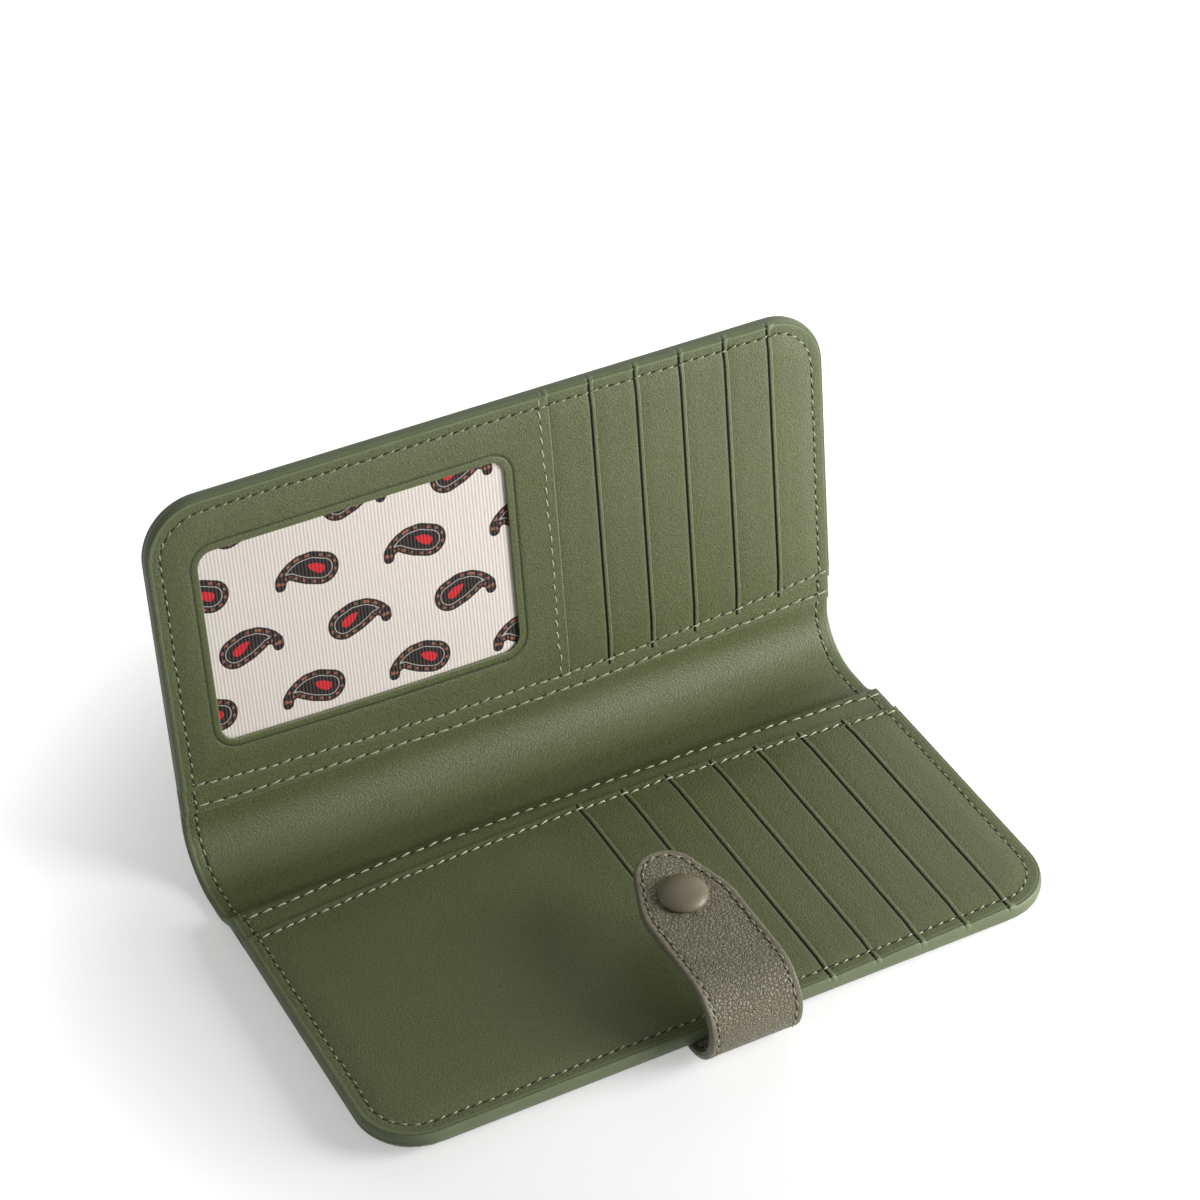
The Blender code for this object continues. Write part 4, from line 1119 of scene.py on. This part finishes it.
def seam_tree():
    """Geometry Nodes tree that sews a seam along the edges it is given."""
    tree = bpy.data.node_groups.new("sew_seam", "GeometryNodeTree")
    for name, kind in (("Path", "Geometry"), ("Stitch", "Object"), ("Needle Hole", "Object"), ("Seed", "Int"),
                       ("Wander", "Float"), ("Drawn Pitch", "Float"), ("Thread", "Material"),
                       ("Hole Shade", "Material")):
        tree.interface.new_socket(name, in_out="INPUT", socket_type="NodeSocket" + kind)
    tree.interface.new_socket("Seam", in_out="OUTPUT", socket_type="NodeSocketGeometry")
    given = add_node(tree, "NodeGroupInput").outputs
    line = add_node(tree, "GeometryNodeMeshToCurve", {0: given["Path"]})
    up = add_node(tree, "GeometryNodeInputNamedAttribute", {"Name": "up"}, data_type="FLOAT_VECTOR")
    along = add_node(tree, "GeometryNodeInputNamedAttribute", {"Name": "ahead"}, data_type="FLOAT_VECTOR")
    pitch = add_node(tree, "GeometryNodeInputNamedAttribute", {"Name": "pitch"}, data_type="FLOAT")
    length = add_node(tree, "GeometryNodeSplineLength")
    steps = add_node(tree, "ShaderNodeMath", {0: length, 1: pitch}, operation="DIVIDE")
    count = add_node(tree, "ShaderNodeMath", {0: steps, 1: 1.0}, operation="ADD")
    even = add_node(tree, "GeometryNodeResampleCurve", {"Curve": line, "Count": count}, mode="COUNT")
    turn = add_node(tree, "FunctionNodeAxesToRotation", {0: along, 1: up},
                    primary_axis="X", secondary_axis="Z")
    chance = add_node(tree, "FunctionNodeRandomValue",
                      {0: (0.0, -0.02, -1.0), 1: (0.0, 0.02, 1.0), "Seed": given["Seed"]},
                      data_type="FLOAT_VECTOR")
    wander = add_node(tree, "ShaderNodeVectorMath", {0: chance, "Scale": given["Wander"]}, operation="SCALE")
    stretch = add_node(tree, "ShaderNodeMath", {0: pitch, 1: given["Drawn Pitch"]}, operation="DIVIDE")
    scale = add_node(tree, "ShaderNodeCombineXYZ", {"X": stretch, "Y": 1.0, "Z": 1.0})
    both = add_node(tree, "GeometryNodeJoinGeometry")
    for shape, shade in (("Stitch", "Thread"), ("Needle Hole", "Hole Shade")):
        source = add_node(tree, "GeometryNodeObjectInfo", {0: given[shape]}).outputs["Geometry"]
        placed = add_node(tree, "GeometryNodeInstanceOnPoints",
                          {"Points": even, "Instance": source, "Rotation": turn, "Scale": scale})
        varied = add_node(tree, "GeometryNodeRotateInstances", {"Instances": placed, "Rotation": wander})
        real = add_node(tree, "GeometryNodeRealizeInstances", {0: varied})
        shaded = add_node(tree, "GeometryNodeSetMaterial", {"Geometry": real, "Material": given[shade]})
        plug(tree, both, {0: shaded})
    add_node(tree, "NodeGroupOutput", {0: both})
    return tree


# Stitches of the rows, of the perimeter and of the tab, each with its needle hole of painted shade.
long_stitch = (thread_shape("long_stitch", start=0.0004, length=0.0025, thick=0.00021),
               hole_shape("small_hole", centre=0.0001, half_length=0.00062, half_width=0.00027, turn=22.0))
sunk_stitch = (thread_shape("sunk_stitch", start=0.0013, length=0.0016, thick=0.00017),
               hole_shape("slit_hole", centre=0.0006, half_length=0.00085, half_width=0.00026, turn=8.0))
tab_stitch = (thread_shape("tab_stitch", start=0.0009, length=0.0020, thick=0.00024),
              hole_shape("tab_hole", centre=0.0004, half_length=0.0006, half_width=0.00025, turn=8.0))
sewing = seam_tree()


def ahead(points, i):
    """Direction in which a stitch lies: towards the point of the line where it sinks again."""
    for later in points[i + 1:]:
        if (later - points[i]).length > STITCH_REACH:
            return later - points[i]
    return points[-1] - points[-2]


def sew(name, lines, stitch, thread, seed):
    """One mesh of stitches along lines, each a list of (point, up) pairs with its pitch."""
    mesh = bpy.data.meshes.new(name)
    vertices = []
    edges = []
    ups = []
    pitches = []
    aheads = []
    for line, pitch in lines:
        first = len(vertices)
        points = [Vector(point) for point, _ in line]
        vertices += points
        aheads += [component for i in range(len(points)) for component in ahead(points, i)]
        ups += [component for _, up in line for component in up]
        pitches += [pitch] * len(line)
        edges += [(i, i + 1) for i in range(first, len(vertices) - 1)]
    mesh.from_pydata(vertices, edges, [])
    mesh.attributes.new("up", "FLOAT_VECTOR", "POINT").data.foreach_set("vector", ups)
    mesh.attributes.new("ahead", "FLOAT_VECTOR", "POINT").data.foreach_set("vector", aheads)
    mesh.attributes.new("pitch", "FLOAT", "POINT").data.foreach_set("value", pitches)
    path = new_object(name + "_path", mesh)
    modifier = path.modifiers.new("sew", "NODES")
    modifier.node_group = sewing
    values = {"Stitch": stitch[0], "Needle Hole": stitch[1], "Seed": seed, "Wander": STITCH_WANDER,
              "Drawn Pitch": DRAWN_PITCH, "Thread": thread, "Hole Shade": hole_shade}
    for item in sewing.interface.items_tree:
        if item.in_out == "INPUT" and item.name in values:
            modifier[item.identifier] = values[item.name]
    bpy.context.view_layer.update()
    graph = bpy.context.evaluated_depsgraph_get()
    sewn = bpy.data.meshes.new_from_object(path.evaluated_get(graph))
    sewn.name = name
    bpy.data.objects.remove(path)
    return new_object(name, sewn)


def inset_path(half, inset, start):
    """Points of a line inside the painted edge, from a place on the left side round to the right."""
    points = [(x - out_x * inset, s - out_s * inset) for (x, s), (out_x, out_s) in outline_path(half)]
    return [point for point in points if point[1] >= start]


def top_line(half, points):
    """Seam points on the inside of the wallet with their directions."""
    return [(half.at(x, s, inside_height(half, x, s) - SEAM_DENT), half.up(x, s)) for x, s in points]


def back_line(half, points):
    """Seam points on the hide with their directions, pressed in where the hide lies on the table."""
    line = []
    for x, s in points:
        pressed = PRESSED_IN if half.at(x, s, -HIDE_THICKNESS).z < TABLE_TOUCH else 0.0
        line.append((half.at(x, s, -HIDE_THICKNESS + SEAM_DENT + pressed), -half.up(x, s)))
    return line


for half in halves:
    round_edge = inset_path(half, SEAM_INSET, half.middle)
    round_seam = sew(half.name + "_perimeter_seam",
                     [(line(half, round_edge), PERIMETER_PITCH) for line in (top_line, back_line)],
                     sunk_stitch, waxed_thread, seed=11)
    half.bend(round_seam, "inner_leather", half.name + "_outer_leather")
    row_length = 2 * HALF_WIDTH - 2 * SEAM_INSET - 0.0008
    across = [-HALF_WIDTH + SEAM_INSET + row_length * i / ROW_STEPS for i in range(ROW_STEPS + 1)]
    rows = [(top_line(half, [(x, s - half.draw(x, s)) for x in across]), pitch)
            for s, pitch in ((POCKET_SEAM, POCKET_PITCH), (half.insert_seam, INSERT_PITCH))]
    if half is upper:
        start = half.insert_seam - half.draw(DIVIDER_X, half.insert_seam)
        steps = int((DIVIDER_END - start) / DIVIDER_STEP)
        divider = [(DIVIDER_X, start + DIVIDER_STEP * i) for i in range(steps)]
        rows.append((top_line(half, divider), DIVIDER_PITCH))
    row_seams = sew(half.name + "_row_seams", rows, long_stitch, waxed_thread, seed=23)
    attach(row_seams, half.name + "_cover")


# Snap tab.
# A strap of the same pebbled calfskin, lined, sewn flat under the lower cover, bent round its
# front edge and curled back over the inside. Its tip carries the snap.
TAB_HALF_WIDTH = 0.0118
TAB_SKIN = 0.001025
TAB_LINING = 0.000825
TAB_RADIUS = 0.009975
TAB_STRAIGHT = 0.012
TAB_REACH = 0.0272
TAB_RISE = math.radians(8.0)
TAB_ROOT = 0.024
TAB_QUARTER = TAB_RADIUS * math.pi / 2
TAB_END = TAB_QUARTER + TAB_STRAIGHT + TAB_REACH
TAB_SHOULDER = 0.0165
TAB_TIP_HALF_WIDTH = 0.0057
TAB_TIP_RADIUS = 0.008
TAB_SHOULDER_RADIUS = 0.020
TAB_SEAM_INSET = 0.0017
SNAP_FROM_TIP = 0.0147
CAP_RADIUS = 0.00605
TAB_STITCH_PITCH = 0.003
TAB_ROUNDING = 0.0005
TIP_LENGTH = 0.03
TAB_SEAM_WIDTH = 0.00045


def over_tab(x, run, height):
    """Point on the tab; run is 0 at the foremost point of its bend and height grows outwards."""
    hinge = axis_at["tab_flex"]
    centre_y = hinge.y + TAB_RADIUS
    bent = min(max(run, -TAB_QUARTER), TAB_QUARTER)
    angle = bent / TAB_RADIUS
    radius = TAB_RADIUS + height
    y = centre_y - radius * math.cos(angle)
    z = hinge.z + radius * math.sin(angle)
    if run < -TAB_QUARTER:
        return Vector((x, y + (-TAB_QUARTER - run), z))
    beyond = run - TAB_QUARTER
    if beyond > 0:
        y += min(beyond, TAB_STRAIGHT)
        last = max(beyond - TAB_STRAIGHT, 0.0)
        turn = TAB_RISE * last / TAB_REACH
        if turn > 0:
            curve = TAB_REACH / TAB_RISE
            y += (curve - height) * math.sin(turn)
            z += (curve - height) * (1 - math.cos(turn))
    return Vector((x, y, z))


def tab_up(run):
    """Direction out of the tab's outer face."""
    return (over_tab(0.0, run, 0.001) - over_tab(0.0, run, 0.0)).normalized()


def tab_tip_outline():
    """Right half of the tab's outline as (distance from the tip, half width), filleted."""
    corners = [Vector((TIP_LENGTH, TAB_HALF_WIDTH)), Vector((TAB_SHOULDER, TAB_HALF_WIDTH)),
               Vector((0.0, TAB_TIP_HALF_WIDTH)), Vector((0.0, -TAB_TIP_HALF_WIDTH))]
    points = []
    for corner, before, after, radius in ((corners[1], corners[0], corners[2], TAB_SHOULDER_RADIUS),
                                          (corners[2], corners[1], corners[3], TAB_TIP_RADIUS)):
        first = (before - corner).normalized()
        second = (after - corner).normalized()
        half_angle = first.angle(second) / 2
        centre = corner + (first + second).normalized() * radius / math.sin(half_angle)
        start = corner + first * radius / math.tan(half_angle) - centre
        end = corner + second * radius / math.tan(half_angle) - centre
        for i in range(17):
            points.append(centre + start.slerp(end, i / 16) * radius)
    points.append(Vector((0.0, 0.0)))
    return points


tip_outline = tab_tip_outline()


def tab_reach(run):
    """Half width of the tab at a run along it."""
    from_tip = TAB_END - run
    if from_tip >= tip_outline[0].x:
        return TAB_HALF_WIDTH
    for wide, narrow in zip(tip_outline, tip_outline[1:]):
        if narrow.x <= from_tip <= wide.x and wide.x > narrow.x:
            share = (from_tip - narrow.x) / (wide.x - narrow.x)
            return narrow.y + (wide.y - narrow.y) * share
    return tip_outline[-2].y


def tab_edge_distance(x, run):
    """Distance in from the tab's outline."""
    from_tip = TAB_END - run
    if from_tip > TIP_LENGTH:
        return TAB_HALF_WIDTH - abs(x)
    point = Vector((from_tip, abs(x)))
    best = 1.0
    for a, b in zip(tip_outline, tip_outline[1:]):
        edge = b - a
        share = min(max((point - a).dot(edge) / max(edge.length_squared, 1e-12), 0.0), 1.0)
        best = min(best, (a + edge * share - point).length)
    return min(best, TAB_HALF_WIDTH - abs(x))


def cap_pucker(x, run):
    """Small wrinkles that the snap pulls into the leather round its cap."""
    across = x
    along = run - (TAB_END - SNAP_FROM_TIP)
    distance = math.hypot(across, along)
    if not CAP_RADIUS - 0.001 < distance < CAP_RADIUS + 0.005:
        return 0.0
    angle = math.atan2(across, along)
    fade = math.exp(-((distance - CAP_RADIUS) / 0.0018) ** 2)
    waves = 0.6 * math.sin(7 * angle + 0.8) + 0.4 * math.sin(12 * angle + 2.1)
    return fade * (0.00018 * waves - 0.00014)


def tab_outside(x, run):
    """Height of the tab's outer face: drawn in along the seam, with a raised margin and rounded edge."""
    edge = tab_edge_distance(x, run)
    seam = 0.00016 * dent(edge - TAB_SEAM_INSET, TAB_SEAM_WIDTH)
    margin = 0.00008 * ease((TAB_SEAM_INSET + 0.0004 - edge) / 0.0006)
    rounding = max(TAB_ROUNDING - max(edge, 0.0), 0.0)
    lifted = TAB_ROUNDING - math.sqrt(TAB_ROUNDING ** 2 - rounding ** 2)
    return TAB_SKIN - 0.00004 - seam + margin - lifted + cap_pucker(x, run)


def tab_inside(x, run):
    """Height of the tab lining's face, drawn in along the seam."""
    edge = tab_edge_distance(x, run)
    return -TAB_LINING + 0.00004 + 0.0001 * dent(edge - TAB_SEAM_INSET, TAB_SEAM_WIDTH)


def tab_margin(x, run):
    """1 on the pressed margin outside the seam."""
    return 1 - ease((tab_edge_distance(x, run) - 0.0012) / 0.0007)


def tab_sheet(name, low, high):
    """Closed sheet along the whole tab; low and high give the heights of its faces."""
    runs = spaced(-TAB_QUARTER - TAB_ROOT, TAB_END, 0.0011, (TAB_END - SNAP_FROM_TIP, 0.0115, 0.0004))
    runs = sorted(set(runs) | {TAB_END - point.x for point in tip_outline if 0 < point.x < 0.004})
    seams = [(side * (TAB_HALF_WIDTH - TAB_SEAM_INSET), 0.001, 0.00025) for side in (-1, 1)]
    edges = [(side * TAB_HALF_WIDTH, 0.0005, 0.00012) for side in (-1, 1)]
    columns = spaced(-TAB_HALF_WIDTH, TAB_HALF_WIDTH, 0.0006, *seams, *edges)
    loops = []
    tones = []
    for run in runs:
        reach = tab_reach(run)
        across = [min(max(x, -reach), reach) for x in columns]
        loops.append([over_tab(x, run, high(x, run)) for x in across]
                     + [over_tab(x, run, low(x, run)) for x in reversed(across)])
        margins = [tab_margin(x, run) for x in across]
        tones.append(margins + margins[::-1])
    return loft(name, tab_calfskin, loops, True, "filled", tones)


def finish_tab(piece, *nodes):
    """Bake a piece of the tab in place and hide the CAD nodes that it stands for."""
    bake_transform(piece)
    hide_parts(*nodes)


tab_calfskin = pebbled_calfskin("pebbled_calfskin_tab", 0x86816A, 0x524E3A, depth=0.17 * MM)
tab_skin = tab_sheet("tab_skin", lambda x, run: GLUE_LINE / 2, tab_outside)
finish_tab(tab_skin, "tab_outer_leather", "tab_root_leather")
tab_back = tab_sheet("tab_back_skin", tab_inside, lambda x, run: -GLUE_LINE / 2)
finish_tab(tab_back, "tab_lining", "tab_root_lining")


def tab_outline_path():
    """Points (x, run) and outward directions round the tab, from its root up the left side and back."""
    start = -TAB_QUARTER - TAB_ROOT
    straight = spaced(start, TAB_END - TIP_LENGTH, 0.0011)
    right = [(TAB_HALF_WIDTH, run) for run in straight] + [(p.y, TAB_END - p.x) for p in tip_outline[:-1]]
    loop = [(-x, run) for x, run in right] + [(0.0, TAB_END)] + [(x, run) for x, run in reversed(right)]
    path = []
    for i, (x, run) in enumerate(loop):
        before = loop[max(i - 1, 0)]
        after = loop[min(i + 1, len(loop) - 1)]
        along = Vector((after[0] - before[0], after[1] - before[1])).normalized()
        path.append(((x, run), (-along.y, along.x)))
    return path


tab_edge_paint = edge_paint("acrylic_edge_paint_taupe", 0x656B55, 0x7A8069)
tab_profile = paint_profile(-TAB_LINING - GLUE_LINE, TAB_SKIN - 0.00038, groove_at=0.0, groove_depth=0.00006)
tab_band = paint_band("tab_painted_edge", tab_edge_paint, tab_outline_path(), over_tab,
                      lambda x, run, out_x: tab_profile, inset=0.0004)
finish_tab(tab_band, "tab_outer_leather")


def tab_line(height, side):
    """Seam points on one side of the tab with their directions, pressed in near the table."""
    line = []
    for (x, run), (out_x, out_run) in tab_outline_path():
        x -= out_x * TAB_SEAM_INSET
        run -= out_run * TAB_SEAM_INSET
        pressed = 0.0004 * (1 - ease((over_tab(x, run, height).z - 0.0004) / 0.0012))
        line.append((over_tab(x, run, height - side * (0.0001 + pressed)), side * tab_up(run)))
    return line


tab_thread = thread_material("waxed_polyester_thread_olive", 0x8D8970, 0xB9B59B)
tab_seam = sew("tab_seam", [(tab_line(height, side), TAB_STITCH_PITCH) for height, side in
                            ((TAB_SKIN, 1), (-TAB_LINING, -1))], tab_stitch, tab_thread, seed=37)
finish_tab(tab_seam, "tab_outer_leather")

for shape in long_stitch + sunk_stitch + tab_stitch:
    bpy.data.objects.remove(shape)


# Snap fastener.
# A lacquered brass cap on the tab with its socket below, and the stud that it presses onto, riveted
# to the outside of the upper cover.
CAP_HEIGHT = 0.0029
CAP_RIM = 0.0005
CAP_SUNK = 0.00015


def cap_profile(steps=28):
    """Radius and height from the middle of the cap's foot, over its rim, to the middle of its low dome."""
    points = [(0.0, 0.0), (CAP_RADIUS - 0.0004, 0.0), (CAP_RADIUS - 0.0001, 0.0001)]
    for i in range(steps + 1):
        radius = CAP_RADIUS * math.cos(math.pi / 2 * i / steps)
        flat = max(1 - (radius / CAP_RADIUS) ** 2.3, 0.0) ** 0.55
        points.append((radius if i < steps else 0.0, CAP_RIM + (CAP_HEIGHT - CAP_RIM) * flat))
    return points


def turned(name, material, profile, place, direction, steps=72):
    """Round metal piece: a profile of (radius, height) turned about a direction through a place."""
    lean = Vector((0.0, 0.0, 1.0)).rotation_difference(direction).to_matrix()
    loops = []
    for i in range(steps):
        angle = 2 * math.pi * i / steps
        loops.append([place + lean @ Vector((radius * math.cos(angle), radius * math.sin(angle), height))
                      for radius, height in profile])
    return loft(name, material, loops, False, "ring")


# Lacquered brass: an even satin taupe coat with a faint texture. Antique brass: bare dulled metal.
lacquered_brass = flecked("lacquered_brass_taupe", 0x655E48, 0x787159, flecks_per_mm=2.2, detail=3.0,
                          roughness=0.42, relief=0.02 * MM)
antique_brass = flecked("antique_brass", 0x6F6244, 0xB09C6A, flecks_per_mm=0.6, detail=4.0,
                        roughness=0.35, metallic=1.0)

cap_run = TAB_END - SNAP_FROM_TIP
cap = turned("snap_cap_dome", lacquered_brass, cap_profile(), over_tab(0.0, cap_run, TAB_SKIN - CAP_SUNK),
             tab_up(cap_run))
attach(cap, "tab")
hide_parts("snap_cap")

for name in ("snap_socket", "snap_stud", "snap_stud_rivet"):
    node = frame["nodes"][name]
    node.data.materials.clear()
    node.data.materials.append(antique_brass)
